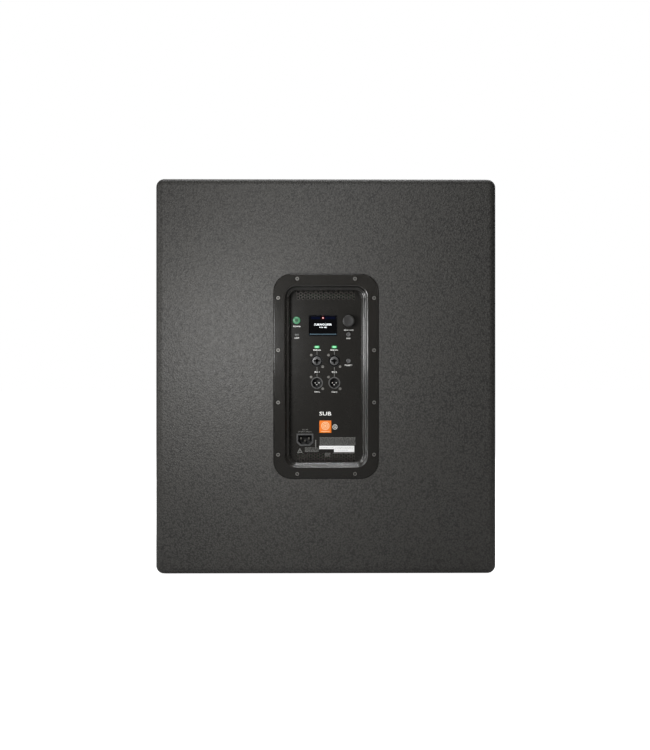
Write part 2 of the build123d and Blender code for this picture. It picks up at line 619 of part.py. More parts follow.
# ---------------------------------------------------------------- amplifier module: frame and panel
def amp_frame():
    """The moulded surround of the recess: a flange with twelve screws and a stepped, tapering wall."""
    flange_back = AMP_FLANGE_TOP - AMP_FLANGE_THICKNESS
    frame = plate(AMP_FLANGE_WIDTH, AMP_FLANGE_HEIGHT, AMP_FLANGE_RADIUS, flange_back, AMP_FLANGE_TOP)
    frame = fillet(frame.faces().sort_by(Axis.Z)[-1].edges(), 0.8)
    frame += plate(AMP_BODY_WIDTH, AMP_BODY_HEIGHT, AMP_BODY_RADIUS, PANEL_TOP, flange_back)
    frame -= tapered(
        (MOUTH_WIDTH, MOUTH_HEIGHT, MOUTH_RADIUS, AMP_FLANGE_TOP),
        (MOUTH_WIDTH - 5.2, MOUTH_HEIGHT - 5.2, MOUTH_RADIUS - 2.6, LEDGE_DEPTH),
    )
    frame -= tapered(
        (FLOOR_WIDTH + 5.2, FLOOR_HEIGHT + 5.2, FLOOR_RADIUS + 2.6, LEDGE_DEPTH),
        (FLOOR_WIDTH, FLOOR_HEIGHT, FLOOR_RADIUS, PANEL_TOP),
    )
    lip = [e for e in frame.edges() if abs(e.center().Z - AMP_FLANGE_TOP) < 0.01 and inside_mouth(e)]
    step = [e for e in frame.edges() if abs(e.center().Z - LEDGE_DEPTH) < 0.01 and inside_ledge(e)]
    frame = fillet(lip + step, RECESS_EDGE_RADIUS)
    hollow = plate(
        AMP_BODY_WIDTH - 4.4, AMP_BODY_HEIGHT - 4.4, AMP_BODY_RADIUS - 2.2, PANEL_TOP, LEDGE_DEPTH - 2.5
    )  # fmt: skip
    hollow -= plate(FLOOR_WIDTH + 9.6, FLOOR_HEIGHT + 9.6, FLOOR_RADIUS + 4.8, PANEL_TOP - 1, 0)
    frame -= hollow
    counterbore = disc(4.3, AMP_FLANGE_TOP - 1.8, 1) + disc(2.0, -14, 0)
    return REAR * drilled(frame, at_spots(counterbore, AMP_SCREW_SPOTS))


def inside_mouth(edge):
    """Whether an edge lies on the recess's mouth and not on the flange's outline."""
    middle = edge.center()
    return abs(middle.X) < MOUTH_WIDTH / 2 + 1 and abs(middle.Y) < MOUTH_HEIGHT / 2 + 1


def inside_ledge(edge):
    """Whether an edge lies on the inner side of the recess's ledge."""
    middle = edge.center()
    return abs(middle.X) < FLOOR_WIDTH / 2 + 3.5 and abs(middle.Y) < FLOOR_HEIGHT / 2 + 3.5


def amp_gasket():
    """The foam gasket under the flange."""
    flange_back = AMP_FLANGE_TOP - AMP_FLANGE_THICKNESS
    ring = plate(AMP_FLANGE_WIDTH, AMP_FLANGE_HEIGHT, AMP_FLANGE_RADIUS, -REBATE_DEPTH, flange_back)
    ring -= plate(AMP_BODY_WIDTH + 2, AMP_BODY_HEIGHT + 2, AMP_BODY_RADIUS + 1, -REBATE_DEPTH - 1, 0)
    return REAR * drilled(ring, at_spots(disc(2.0, -14, 0), AMP_SCREW_SPOTS))


def amp_screws():
    """Twelve socket-headed screws, sunk in the flange."""
    top = AMP_FLANGE_TOP - 1.8
    head = turned((0, top), (3.7, top), (3.7, top + 1.2), (3.1, top + 1.9), (0, top + 1.9))
    screw = head + disc(2.0, -13.5, top)
    screw -= Pos(0, 0, top + 0.7) * extrude(RegularPolygon(1.7, 6), 3)
    return [REAR * s for s in at_spots(screw, AMP_SCREW_SPOTS)]


def vent_spots(start, rows):
    """The centres of a honeycomb of vent cells, from its lowest row up."""
    across = VENT_PITCH * math.sqrt(3)
    spots = []
    for row in range(rows):
        count = VENT_COLUMNS - row % 2
        first = -(count - 1) / 2 * across
        spots += [(first + column * across, start + row * VENT_PITCH / 2) for column in range(count)]
    return spots


def inlet_outline(grow=0.0):
    """The mains inlet's six-sided outline, with its two lower corners cut off."""
    half_width, half_height, corner = 12.2 + grow, 8.15 + grow, 5.0 + grow * 0.4
    points = [
        (-half_width, half_height), (half_width, half_height),
        (half_width, corner - half_height), (half_width - corner, -half_height),
        (corner - half_width, -half_height), (-half_width, corner - half_height),
    ]  # fmt: skip
    return make_face(Polyline(*points, close=True))


def led_outline(clearance=0.0):
    """The long round-ended outline of a light pipe."""
    return SlotOverall(7.4 + 2 * clearance, 3.0 + 2 * clearance)


def control_panel():
    """The steel floor of the recess, with its vents and the holes for controls and sockets."""
    panel = plate(AMP_BODY_WIDTH, AMP_BODY_HEIGHT, AMP_BODY_RADIUS, PANEL_BACK, PANEL_TOP)
    openings = Sketch()
    openings += Pos(*POWER_BUTTON_AT) * Circle(POWER_BUTTON_RADIUS + BUTTON_CLEARANCE)
    openings += Pos(*KNOB_AT) * Circle(3.6)
    for spot in (BACK_BUTTON_AT, POLARITY_BUTTON_AT):
        openings += Pos(*spot) * Circle(BUTTON_RADIUS + BUTTON_CLEARANCE)
    openings += Pos(*DISPLAY_AT) * RectangleRounded(DISPLAY_SIZE[0] + 1, DISPLAY_SIZE[1] + 1, 1.5)
    openings += [Pos(*spot) * Circle(SOCKET_RADIUS) for spot in SOCKET_SPOTS]
    openings += [Pos(*spot) * Circle(1.25) for spot in SOCKET_SCREW_SPOTS]
    openings += [Pos(x, SIGNAL_LED_UP) * led_outline() for x in INPUT_COLUMNS]
    openings += Pos(*LIMIT_LED_AT) * led_outline()
    openings += Pos(*INLET_AT) * inlet_outline(1.2)
    vents = vent_spots(*VENT_TOP_ROWS) + vent_spots(*VENT_BOTTOM_ROWS)
    openings += [Pos(*spot) * RegularPolygon(VENT_CELL_RADIUS, 6) for spot in vents]
    panel -= Pos(0, 0, PANEL_BACK - 1) * extrude(openings, PANEL_THICKNESS + 2)
    return REAR * panel


# ---------------------------------------------------------------- amplifier module: controls
BOARD_TOP = PANEL_BACK - 10.0
BOARD_THICKNESS = 1.6
SWITCH_HEIGHT = 5.0
BUTTON_PROUD = 1.3
POWER_PROUD = 3.0


def press_button(spot, radius, proud, travel, dish):
    """A push button: a cap through the panel, with a collar behind it and a stem over its switch."""
    top = PANEL_TOP + proud
    cap = disc(radius, PANEL_BACK - 1.2, top)
    cap = fillet(cap.edges().sort_by(Axis.Z)[-1], 0.5 if dish else 1.9)
    if dish:
        cap -= Pos(0, 0, top + 5.6) * Sphere(6)
    collar = disc(radius + 1.2, PANEL_BACK - 1.2, PANEL_BACK - 0.2)
    stem = disc(1.6, BOARD_TOP + SWITCH_HEIGHT + travel + 0.1, PANEL_BACK - 1.0)
    return REAR * Pos(*spot, 0) * (cap + collar + stem)


def control_board():
    """The circuit board behind the controls, with a switch under each button."""
    board = slab((-62, 60, BOARD_TOP - BOARD_THICKNESS), (56, 114, BOARD_TOP))
    board += slab((29, 15, BOARD_TOP - BOARD_THICKNESS), (56, 61, BOARD_TOP))
    for x, y in (POWER_BUTTON_AT, BACK_BUTTON_AT, POLARITY_BUTTON_AT):
        board += slab((x - 3, y - 3, BOARD_TOP - 0.1), (x + 3, y + 3, BOARD_TOP + SWITCH_HEIGHT))
    return REAR * board


def encoder_parts():
    """The rotary encoder: its fixed body, the collar that a push moves, and the shaft."""
    body = slab((-6, -6.5, BOARD_TOP), (6, 6.5, PANEL_BACK - 2.0))
    body += disc(3.5, PANEL_BACK - 2.0, PANEL_TOP + 1.0)
    body -= disc(2.55, BOARD_TOP + 1.5, PANEL_TOP + 2.0)
    body -= disc(4.6, BOARD_TOP + 1.5, BOARD_TOP + 5.5)
    collar = disc(4.3, BOARD_TOP + 2.6, BOARD_TOP + 4.2, 2.5)
    shaft = disc(2.45, BOARD_TOP + 2.6, PANEL_TOP + KNOB_GAP + KNOB_HEIGHT - 4)
    shaft -= slab((1.4, -3, PANEL_TOP + 6), (3, 3, PANEL_TOP + 30))
    return [REAR * Pos(*KNOB_AT, 0) * shape for shape in (body, collar, shaft)]


def encoder_knob():
    """The knob: a smooth drum with a rounded rim and a dished face, bored for the flatted shaft."""
    bottom = PANEL_TOP + KNOB_GAP
    top = bottom + KNOB_HEIGHT
    knob = disc(KNOB_RADIUS, bottom, top)
    knob = fillet(knob.edges().sort_by(Axis.Z)[-1], 1.6)
    knob -= Pos(0, 0, top + 59.5) * Sphere(60)
    knob -= disc(KNOB_RADIUS - 1.8, bottom - 1, bottom + 6, 5.0) + disc(5.1, bottom - 1, bottom + 1.5)
    bore = disc(2.45, bottom - 1, top - 4) - slab((1.4, -3, PANEL_TOP + 6), (3, 3, top))
    knob -= bore
    return REAR * Pos(*KNOB_AT, 0) * knob


def display_parts():
    """The display: a lens in a sloping bezel, and the module behind them."""
    width, height = DISPLAY_SIZE
    lens_top = PANEL_TOP - 2.4
    lens = plate(width - 2.2, height - 3.4, 0.6, lens_top - 1.2, lens_top)
    bezel = plate(width + 1, height + 1, 1.5, PANEL_BACK, PANEL_TOP)
    bezel += plate(width + 6, height + 6, 2.0, PANEL_BACK - 5, PANEL_BACK)
    bezel -= tapered((width, height, 1.0, PANEL_TOP), (width - 2.2, height - 3.4, 0.6, lens_top))
    bezel -= plate(width - 2.2, height - 3.4, 0.6, lens_top - 1.2, lens_top)
    bezel -= plate(width - 5, height - 6, 0.6, PANEL_BACK - 6, lens_top)
    lcd = plate(width - 5, height - 6, 0.6, PANEL_BACK - 5, lens_top - 1.2)
    lift = Pos(*DISPLAY_AT, 0)
    return REAR * lift * lens, group([REAR * lift * bezel, REAR * lift * lcd])


def indicator_leds():
    """Three light pipes: two signal indicators and the limiter's."""
    pipe = Pos(0, 0, PANEL_TOP - 9) * extrude(led_outline(), 9.6)
    spots = [(x, SIGNAL_LED_UP) for x in INPUT_COLUMNS] + [LIMIT_LED_AT]
    return [REAR * p for p in at_spots(pipe, spots)]


# ---------------------------------------------------------------- amplifier module: sockets
def combo_input():
    """A combined socket for a three-pin plug or a quarter-inch jack."""
    body = slab((-12.5, -13, PANEL_BACK - SOCKET_DEPTH), (12.5, 13, PANEL_BACK))
    body += disc(SOCKET_RADIUS, PANEL_BACK, PANEL_TOP + 0.4)
    body -= disc(COMBO_SHELL_INNER_RADIUS, PANEL_TOP - 14, PANEL_TOP + 1, COMBO_INSERT_RADIUS)
    body -= disc(COMBO_INSERT_RADIUS + 0.1, PANEL_TOP - 0.6, PANEL_TOP + 1)
    body -= disc(3.35, PANEL_TOP - 26, PANEL_TOP + 1)
    for x, y in ((-4.3, 0.2), (4.3, 0.2), (0, -4.3)):
        body -= Pos(x, y, 0) * disc(1.5, PANEL_TOP - 13, PANEL_TOP + 1)
    return drilled(body, socket_screw_holes())


def thru_output():
    """A three-pin male socket with its pins."""
    body = slab((-12.5, -13, PANEL_BACK - SOCKET_DEPTH), (12.5, 13, PANEL_BACK))
    body += disc(SOCKET_RADIUS, PANEL_BACK, PANEL_TOP + 0.8)
    body -= disc(XLR_CAVITY_RADIUS, PANEL_TOP - 16, PANEL_TOP + 1)
    body -= slab((-2, -XLR_CAVITY_RADIUS - 0.9, PANEL_TOP - 16), (2, -XLR_CAVITY_RADIUS + 1, PANEL_TOP + 1))
    body = drilled(body, socket_screw_holes())
    pins = []
    for x, y in ((-3.5, 0), (3.5, 0), (0, -3.5)):
        pin = disc(1.2, PANEL_TOP - 16, PANEL_TOP - 2.5)
        pins.append(Pos(x, y, 0) * fillet(pin.edges().sort_by(Axis.Z)[-1], 0.9))
    return [body] + pins


def socket_screw_holes():
    """The two screw holes in a socket's body."""
    spots = [(side * SOCKET_SCREW_OFFSET, -side * SOCKET_SCREW_OFFSET) for side in (-1, 1)]
    return at_spots(disc(1.25, PANEL_BACK - 7, PANEL_BACK + 1), spots)


def connector_screws():
    """Two small screws for each socket."""
    screw = disc(2.3, PANEL_TOP, PANEL_TOP + 0.9) + disc(1.25, PANEL_BACK - 6.5, PANEL_TOP)
    screw -= cross_recess(1.4, 0.6, PANEL_TOP + 0.9)
    return [REAR * s for s in at_spots(screw, SOCKET_SCREW_SPOTS)]


def mains_inlet():
    """The mains inlet: its moulded housing and three blades."""
    housing = Pos(0, 0, PANEL_TOP) * extrude(inlet_outline(2.6), 1.2)
    housing += Pos(0, 0, PANEL_BACK - 22) * extrude(inlet_outline(1.2), PANEL_TOP - PANEL_BACK + 22)
    housing -= Pos(0, 0, PANEL_TOP - 17) * extrude(inlet_outline(), 20)
    blades = []
    for x, y in ((-7, 2), (7, 2), (0, -2)):
        blades.append(slab((x - 1, y - 2, PANEL_TOP - 17), (x + 1, y + 2, PANEL_TOP - INLET_BLADE_DEPTH)))
    return [REAR * Pos(*INLET_AT, 0) * shape for shape in [housing] + blades]


def panel_badge():
    """A plain square badge plate."""
    badge = plate(21.0, 21.6, 1.2, PANEL_TOP, PANEL_TOP + 0.8)
    return REAR * Pos(*BADGE_AT, 0) * fillet(badge.faces().sort_by(Axis.Z)[-1].edges(), 0.3)


def rating_label():
    """Two blank stickers side by side."""
    narrow = slab((-11.8, -128.2, PANEL_TOP), (14.0, -122.4, PANEL_TOP + 0.25))
    wide = slab((14.2, -133.3, PANEL_TOP), (50.0, -122.4, PANEL_TOP + 0.25))
    return [REAR * narrow, REAR * wide]


# ---------------------------------------------------------------- amplifier module: inside
INPUT_BOARD_TOP = PANEL_BACK - SOCKET_DEPTH
POWER_BOARD_TOP = -89.0


def input_board():
    """The circuit board that the four sockets are soldered to."""
    return REAR * slab((-32, -30, INPUT_BOARD_TOP - BOARD_THICKNESS), (31, 46, INPUT_BOARD_TOP))


def power_board():
    """The power supply and output stage: a board with its transformer, inductors and capacitors."""
    board = slab((-64, -148, POWER_BOARD_TOP - BOARD_THICKNESS), (64, 148, POWER_BOARD_TOP))
    parts = [board, slab((-20, -92, POWER_BOARD_TOP), (34, -40, POWER_BOARD_TOP + 34))]
    for x in (-42, -16, 10, 36):
        parts.append(Pos(x, 120, 0) * disc(11.5, POWER_BOARD_TOP, POWER_BOARD_TOP + 42))
    for y in (62, 88):
        coil = disc(10, POWER_BOARD_TOP, POWER_BOARD_TOP + 14, 4)
        parts.append(Pos(36, y, 0) * coil)
    parts.append(slab((-56, -30, POWER_BOARD_TOP), (-44, 60, POWER_BOARD_TOP + 22)))
    return [REAR * p for p in parts]


def heat_sink():
    """A finned extrusion between the power board and the enclosure's back."""
    rear = ENCLOSURE_REAR + SHEET_METAL
    sink = slab((-60, -130, rear), (60, 130, rear + 5))
    for x in range(-58, 59, 9):
        sink += slab((x - 1, -130, rear + 5), (x + 1, 130, rear + 24))
    return REAR * sink


def amp_enclosure():
    """The folded steel box that closes the module off from the air in the cabinet."""
    lip = plate(AMP_BODY_WIDTH, AMP_BODY_HEIGHT, AMP_BODY_RADIUS, PANEL_BACK - SHEET_METAL, PANEL_BACK)
    width, height, radius = AMP_BODY_WIDTH - 8, AMP_BODY_HEIGHT - 8, AMP_BODY_RADIUS - 4
    box = lip + plate(width, height, radius, ENCLOSURE_REAR, PANEL_BACK - SHEET_METAL)
    thin = 2 * SHEET_METAL
    floor = ENCLOSURE_REAR + SHEET_METAL
    box -= plate(width - thin, height - thin, radius - SHEET_METAL, floor, PANEL_BACK + 1)
    for side in (-1, 1):
        lead_hole = disc(LEAD_RADIUS, ENCLOSURE_REAR - 1, floor + 0.5)
        box -= Pos(LEAD_EXIT[0] + side * LEAD_SPACING / 2, LEAD_EXIT[1], 0) * lead_hole
    return REAR * box


# ---------------------------------------------------------------- wiring and lining
LEAD_RADIUS = 2.0
LEAD_SPACING = 5.2
LEAD_EXIT = (-45.0, -142.0)
TERMINAL_X = 150.4
TERMINAL_SPACING = 18.0


def speaker_leads():
    """The insulated pair from the module to the woofer's terminals, through a window of the brace."""
    exit_y = REAR_Y + ENCLOSURE_REAR
    exit_z = CABINET_MID_Z + LEAD_EXIT[1]
    leads = []
    for side in (-1, 1):
        x = -LEAD_EXIT[0] + side * LEAD_SPACING / 2
        tab_z = WOOFER_Z + side * TERMINAL_SPACING / 2
        route = [
            (x, exit_y, exit_z), (x, 222, exit_z), (x + 14, 186, exit_z - 14), (x + 36, 144, exit_z - 22),
            (x + 60, 100, exit_z - 12), (x + 80, 54, exit_z + 14), (x + 92, 6, exit_z + 52),
            (TERMINAL_X + side, -44, tab_z - 106), (TERMINAL_X, -90, tab_z - 60),
            (TERMINAL_X, -132, tab_z - 24),
            (TERMINAL_X, -178, tab_z), (TERMINAL_X, BAFFLE_Y + 104, tab_z),
        ]  # fmt: skip
        radii = bend_radii(route)
        path = FilletPolyline(*route, radius=radii)
        section = Plane(origin=route[0], z_dir=path % 0) * Circle(LEAD_RADIUS)
        lead = sweep(section, path=path)
        print("lead bends", [round(r) for r in radii], "length", round(path.length))
        print("lead volume share", round(lead.volume / (math.pi * LEAD_RADIUS**2 * path.length), 3))
        leads.append(lead)
    return leads


def bend_radii(route):
    """The radius at each inner point of a route: 0.45 of its shorter run over tan(half the turn)."""
    runs = [Vector(*b) - Vector(*a) for a, b in zip(route, route[1:])]
    return [
        0.45 * min(a.length, b.length) / math.tan(math.radians(a.get_angle(b)) / 2)
        for a, b in zip(runs, runs[1:])
    ]


def acoustic_lining():
    """Wadding on the side walls and top, behind the window brace."""
    low_y, high_y = BRACE_Y + WALL + LINING_MARGIN, REAR_Y - WALL - LINING_MARGIN
    half = INNER_WIDTH / 2
    pads = [
        slab((side_low, low_y, 140), (side_low + LINING_THICKNESS, high_y, 640))
        for side_low in (-half, half - LINING_THICKNESS)
    ]
    top = INNER_TOP - LINING_THICKNESS
    pads.append(slab((-half + 40, low_y, top), (half - 40, high_y, INNER_TOP)))
    return pads


# ---------------------------------------------------------------- assembly
def build_parts():
    """Every sub-part by its node's name, placed in the cabinet's frame."""
    block = cabinet_block()
    frame = woofer_frame()
    cone = woofer_cone()
    top_plate, magnet, pole = woofer_motor()
    encoder_body, encoder_collar, encoder_shaft = encoder_parts()
    display_lens, display_module = display_parts()
    combos = [REAR * Pos(x, COMBO_UP, 0) * combo_input() for x in INPUT_COLUMNS]
    outputs = [REAR * Pos(x, THRU_UP, 0) * piece for x in INPUT_COLUMNS for piece in thru_output()]
    return {
        "left_side_panel": side_panel(block, -1, LEFT),
        "right_side_panel": side_panel(block, 1, RIGHT),
        "top_panel": top_panel(block),
        "bottom_panel": bottom_panel(block),
        "rear_panel": rear_panel(),
        "front_baffle": front_baffle(),
        "port_shelf": port_shelf(),
        "port_ribs": group(port_ribs()),
        "window_brace": window_brace(),
        "grille_battens": group(grille_battens()),
        "front_grille": front_grille(),
        "grille_foam": grille_foam(),
        "grille_screws": group(grille_screws()),
        "left_handle_cup": handle_cup(LEFT),
        "right_handle_cup": handle_cup(RIGHT),
        "handle_grips": group([handle_grip(LEFT), handle_grip(RIGHT)]),
        "hardware_screws": group(hardware_screws()),
        "pole_socket": pole_socket(),
        "rubber_feet": group(at_spots(rubber_foot(), FOOT_SPOTS)),
        "foot_screws": group(at_spots(foot_screw(), FOOT_SPOTS)),
        "woofer_frame": WOOFER * frame,
        "woofer_gasket": WOOFER * disc(SEAT_OUTER_RADIUS, SEAT_HEIGHT + 1, FLANGE_THICKNESS + 1.5, 203.5),
        "woofer_surround": WOOFER * woofer_surround(),
        "woofer_cone": WOOFER * cone,
        "woofer_dust_cap": WOOFER * dust_cap(cone),
        "voice_coil": WOOFER * voice_coil(),
        "woofer_spider": WOOFER * woofer_spider(),
        "woofer_top_plate": WOOFER * top_plate,
        "woofer_magnet": WOOFER * magnet,
        "woofer_pole_piece": WOOFER * pole,
        "woofer_terminals": WOOFER * woofer_terminals(frame),
        "woofer_bolts": group(WOOFER * bolt for bolt in at_spots(woofer_bolt(), BOLT_SPOTS)),
        "woofer_tee_nuts": group(WOOFER * nut for nut in at_spots(tee_nut(), BOLT_SPOTS)),
        "speaker_leads": group(speaker_leads()),
        "acoustic_lining": group(acoustic_lining()),
        "amp_frame": amp_frame(),
        "amp_gasket": amp_gasket(),
        "amp_screws": group(amp_screws()),
        "control_panel": control_panel(),
        "power_button": press_button(POWER_BUTTON_AT, POWER_BUTTON_RADIUS, POWER_PROUD, POWER_TRAVEL, False),
        "back_button": press_button(BACK_BUTTON_AT, BUTTON_RADIUS, BUTTON_PROUD, BUTTON_TRAVEL, True),
        "polarity_button": press_button(POLARITY_BUTTON_AT, BUTTON_RADIUS, BUTTON_PROUD, BUTTON_TRAVEL, True),
        "control_board": control_board(),
        "encoder_body": encoder_body,
        "encoder_collar": encoder_collar,
        "encoder_shaft": encoder_shaft,
        "encoder_knob": encoder_knob(),
        "display_lens": display_lens,
        "display_module": display_module,
        "indicator_leds": group(indicator_leds()),
        "combo_inputs": group(combos),
        "thru_outputs": group(outputs),
        "connector_screws": group(connector_screws()),
        "mains_inlet": group(mains_inlet()),
        "panel_badge": panel_badge(),
        "rating_label": group(rating_label()),
        "input_board": input_board(),
        "power_board": group(power_board()),
        "heat_sink": heat_sink(),
        "amp_enclosure": amp_enclosure(),
    }


os.makedirs("parts", exist_ok=True)
for node, shape in build_parts().items():
    export_step(shape, f"parts/{node}.step")
    print(node, len(shape.solids()), "solids", round(shape.volume))
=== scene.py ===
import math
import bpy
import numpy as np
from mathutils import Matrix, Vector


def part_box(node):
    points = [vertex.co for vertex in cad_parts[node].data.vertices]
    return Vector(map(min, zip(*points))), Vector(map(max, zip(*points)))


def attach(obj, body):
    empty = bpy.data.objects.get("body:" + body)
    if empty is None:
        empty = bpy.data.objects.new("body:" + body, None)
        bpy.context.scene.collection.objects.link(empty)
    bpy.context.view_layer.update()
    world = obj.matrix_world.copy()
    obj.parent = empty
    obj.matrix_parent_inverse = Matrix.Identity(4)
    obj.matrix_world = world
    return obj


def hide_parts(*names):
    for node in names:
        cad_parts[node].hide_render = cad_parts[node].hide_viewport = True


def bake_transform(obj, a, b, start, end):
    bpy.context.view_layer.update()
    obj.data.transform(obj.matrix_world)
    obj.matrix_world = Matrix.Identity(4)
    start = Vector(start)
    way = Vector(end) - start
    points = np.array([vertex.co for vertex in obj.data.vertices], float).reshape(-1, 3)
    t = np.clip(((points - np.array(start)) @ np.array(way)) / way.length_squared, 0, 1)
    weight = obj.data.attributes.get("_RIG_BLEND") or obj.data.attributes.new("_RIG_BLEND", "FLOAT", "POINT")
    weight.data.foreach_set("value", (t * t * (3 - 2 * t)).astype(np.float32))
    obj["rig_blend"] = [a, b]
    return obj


bl_info = {
    "name": "Powered stage subwoofer",
    "version": (1, 0, 0),
    "blender": (4, 5, 0),
    "location": "View3D > Sidebar > Subwoofer",
    "description": "Finishes a powered 18 inch subwoofer round its packed frame",
    "category": "Object",
}

import bmesh
import bpy
from bpy.props import FloatProperty, FloatVectorProperty, IntProperty, PointerProperty
from mathutils import Matrix, Vector

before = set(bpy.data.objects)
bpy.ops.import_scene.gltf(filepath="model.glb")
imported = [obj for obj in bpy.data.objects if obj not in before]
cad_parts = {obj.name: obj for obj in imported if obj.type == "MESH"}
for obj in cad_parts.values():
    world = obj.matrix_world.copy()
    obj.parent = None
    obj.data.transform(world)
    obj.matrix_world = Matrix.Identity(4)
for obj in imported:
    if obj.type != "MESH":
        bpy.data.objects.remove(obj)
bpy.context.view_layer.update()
MM = 0.001
ROOT = "cabinet"

# Places that the frame gives
CABINET_LOW, CABINET_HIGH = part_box("left_side_panel")[0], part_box("right_side_panel")[1]
REAR_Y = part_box("rear_panel")[1][1]
MIDDLE_Z = (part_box("rear_panel")[0][2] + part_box("rear_panel")[1][2]) / 2
PANEL_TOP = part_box("control_panel")[1][1] - REAR_Y
BAFFLE_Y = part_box("front_baffle")[0][1]
GRILLE_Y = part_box("front_grille")[0][1]
WOOFER_Z = (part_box("woofer_frame")[0][2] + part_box("woofer_frame")[1][2]) / 2


def middle_of(node):
    """The centre of a node's box."""
    low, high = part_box(node)
    return (Vector(low) + Vector(high)) / 2


# A face seen square on: x across and y up as its viewer sees it, z towards the viewer
ON_REAR = Matrix(((-1, 0, 0, 0), (0, 0, 1, REAR_Y), (0, 1, 0, MIDDLE_Z), (0, 0, 0, 1)))
ON_BAFFLE = Matrix(((1, 0, 0, 0), (0, 0, -1, BAFFLE_Y), (0, 1, 0, WOOFER_Z), (0, 0, 0, 1)))
ON_GRILLE = Matrix(((1, 0, 0, 0), (0, 0, -1, GRILLE_Y), (0, 1, 0, MIDDLE_Z), (0, 0, 0, 1)))

# Places on the amplifier's panel, across and up from its middle, in metres
POWER_AT = (-51.7 * MM, 98.5 * MM)
BACK_AT = (39.7 * MM, 73.8 * MM)
POLARITY_AT = (39.7 * MM, 27.2 * MM)
DISPLAY_AT = (-5.1 * MM, 89.4 * MM)
INPUT_COLUMNS = (-15.8 * MM, 14.8 * MM)
COMBO_UP = 27.2 * MM
THRU_UP = -11.6 * MM
SIGNAL_UP = 51.6 * MM
LIMIT_AT = (-51.2 * MM, 73.2 * MM)
INLET_AT = (-36.9 * MM, -111.7 * MM)
BADGE_AT = (-1.0 * MM, -88.7 * MM)


# ---------------------------------------------------------------- sizes and colours a user would change
def length(name, description, default):
    """A length property in metres."""
    return FloatProperty(name=name, description=description, default=default, min=0.0, unit="LENGTH")


def colour(name, description, default):
    """A colour property."""
    return FloatVectorProperty(
        name=name, description=description, default=default, size=3, min=0.0, max=1.0, subtype="COLOR"
    )


class SubwooferSizes(bpy.types.PropertyGroup):
    """Sizes of the modelled pieces and of their textures."""

    grille_pitch: length("Grille pitch", "Distance between neighbouring holes of the grille", 10.0 * MM)
    grille_web: length("Grille web", "Half the steel left between two holes", 0.9 * MM)
    grille_border: length("Grille border", "Width of the plain steel round the perforation", 13.0 * MM)
    stipple: length("Stipple", "Size of the pebbles in the cabinet's coating", 2.5 * MM)
    stipple_relief: length("Stipple relief", "Height of the pebbles in the coating", 0.5 * MM)
    moulding_grain: length("Moulding grain", "Size of the grain on moulded plastic", 0.7 * MM)
    legend_relief: length("Legend relief", "Thickness of the printing on the panel", 0.06 * MM)
    surround_roll: length("Surround roll", "Radius of each roll of the woofer's surround", 6.0 * MM)
    spider_roll: length("Spider roll", "Radius of each roll of the woofer's spider", 3.4 * MM)
    grip_ribs: IntProperty(name="Grip ribs", description="Ribs on each handle's sleeve", default=17, min=3)


class SubwooferColours(bpy.types.PropertyGroup):
    """Colours of the finishes."""

    coating: colour("Coating", "Cabinet's textured coating", (0.0395, 0.0381, 0.0348))
    moulding: colour("Moulding", "Amplifier frame and handle cups", (0.0089, 0.0083, 0.0074))
    panel: colour("Panel", "Amplifier's steel panel", (0.0148, 0.0138, 0.0122))
    legend: colour("Legend", "Printing on the panel", (0.90, 0.90, 0.87))
    faint_legend: colour("Faint legend", "Grey lines and small print", (0.17, 0.17, 0.16))
    badge: colour("Badge", "Badge plate", (0.85, 0.20, 0.015))
    power_key: colour("Power button", "Power button's lens", (0.022, 0.15, 0.062))
    signal_light: colour("Signal light", "Lit signal lights", (0.05, 0.85, 0.22))
    knob: colour("Knob", "Rotary knob", (0.026, 0.0255, 0.025))
    socket_rim: colour("Socket rim", "Rims of the sockets", (0.065, 0.064, 0.062))
    foam: colour("Foam", "Foam and cloth behind the grille", (0.008, 0.008, 0.009))


def sizes():
    return bpy.context.scene.subwoofer_sizes


def colours():
    return bpy.context.scene.subwoofer_colours


# ---------------------------------------------------------------- working by hand
def alone(obj):
    """Selects one object and makes it active."""
    bpy.ops.object.select_all(action="DESELECT")
    obj.select_set(True)
    bpy.context.view_layer.objects.active = obj
    return obj


def primitive(kind, **settings):
    """Adds one mesh primitive with nothing else selected."""
    bpy.ops.object.select_all(action="DESELECT")
    getattr(bpy.ops.mesh, f"primitive_{kind}_add")(**settings)
    return bpy.context.object


class editing:
    """Edit mode on one object, in one selection mode and with nothing selected."""

    def __init__(self, obj, mode="FACE"):
        self.obj, self.mode = obj, mode

    def __enter__(self):
        alone(self.obj)
        bpy.ops.object.mode_set(mode="EDIT")
        bpy.ops.mesh.select_mode(type=self.mode)
        bpy.ops.mesh.select_all(action="DESELECT")

    def __exit__(self, *problem):
        bpy.ops.object.mode_set(mode="OBJECT")


def pick(obj, test, kind="faces"):
    """In edit mode, selects the faces, edges or vertices that pass a test and nothing else."""
    mesh = bmesh.from_edit_mesh(obj.data)
    for element in [*mesh.verts, *mesh.edges, *mesh.faces]:
        element.select_set(False)
    for element in getattr(mesh, kind):
        if test(element):
            element.select_set(True)
    mesh.select_flush_mode()
    bmesh.update_edit_mesh(obj.data)


def rim_at(height, slack=1e-6):
    """A test for edges that lie at one height and bound a face that points another way."""
    return lambda edge: (
        all(abs(v.co.z - height) < slack for v in edge.verts) and edge.calc_face_angle(0.0) > math.radians(30)
    )


def apply(obj, kind, **settings):
    """Adds a modifier to an object and applies it."""
    alone(obj)
    modifier = obj.modifiers.new(kind.title(), kind)
    for key, value in settings.items():
        setattr(modifier, key, value)
    bpy.ops.object.modifier_apply(modifier=modifier.name)
    return obj


def cut(obj, cutter):
    """Takes a cutter away from an object."""
    apply(obj, "BOOLEAN", operation="DIFFERENCE", object=cutter, solver="EXACT")
    bpy.data.objects.remove(cutter)
    return obj


def join(objects):
    """Joins objects into the first one."""
    alone(objects[0])
    for obj in objects[1:]:
        obj.select_set(True)
    bpy.ops.object.join()
    return bpy.context.object


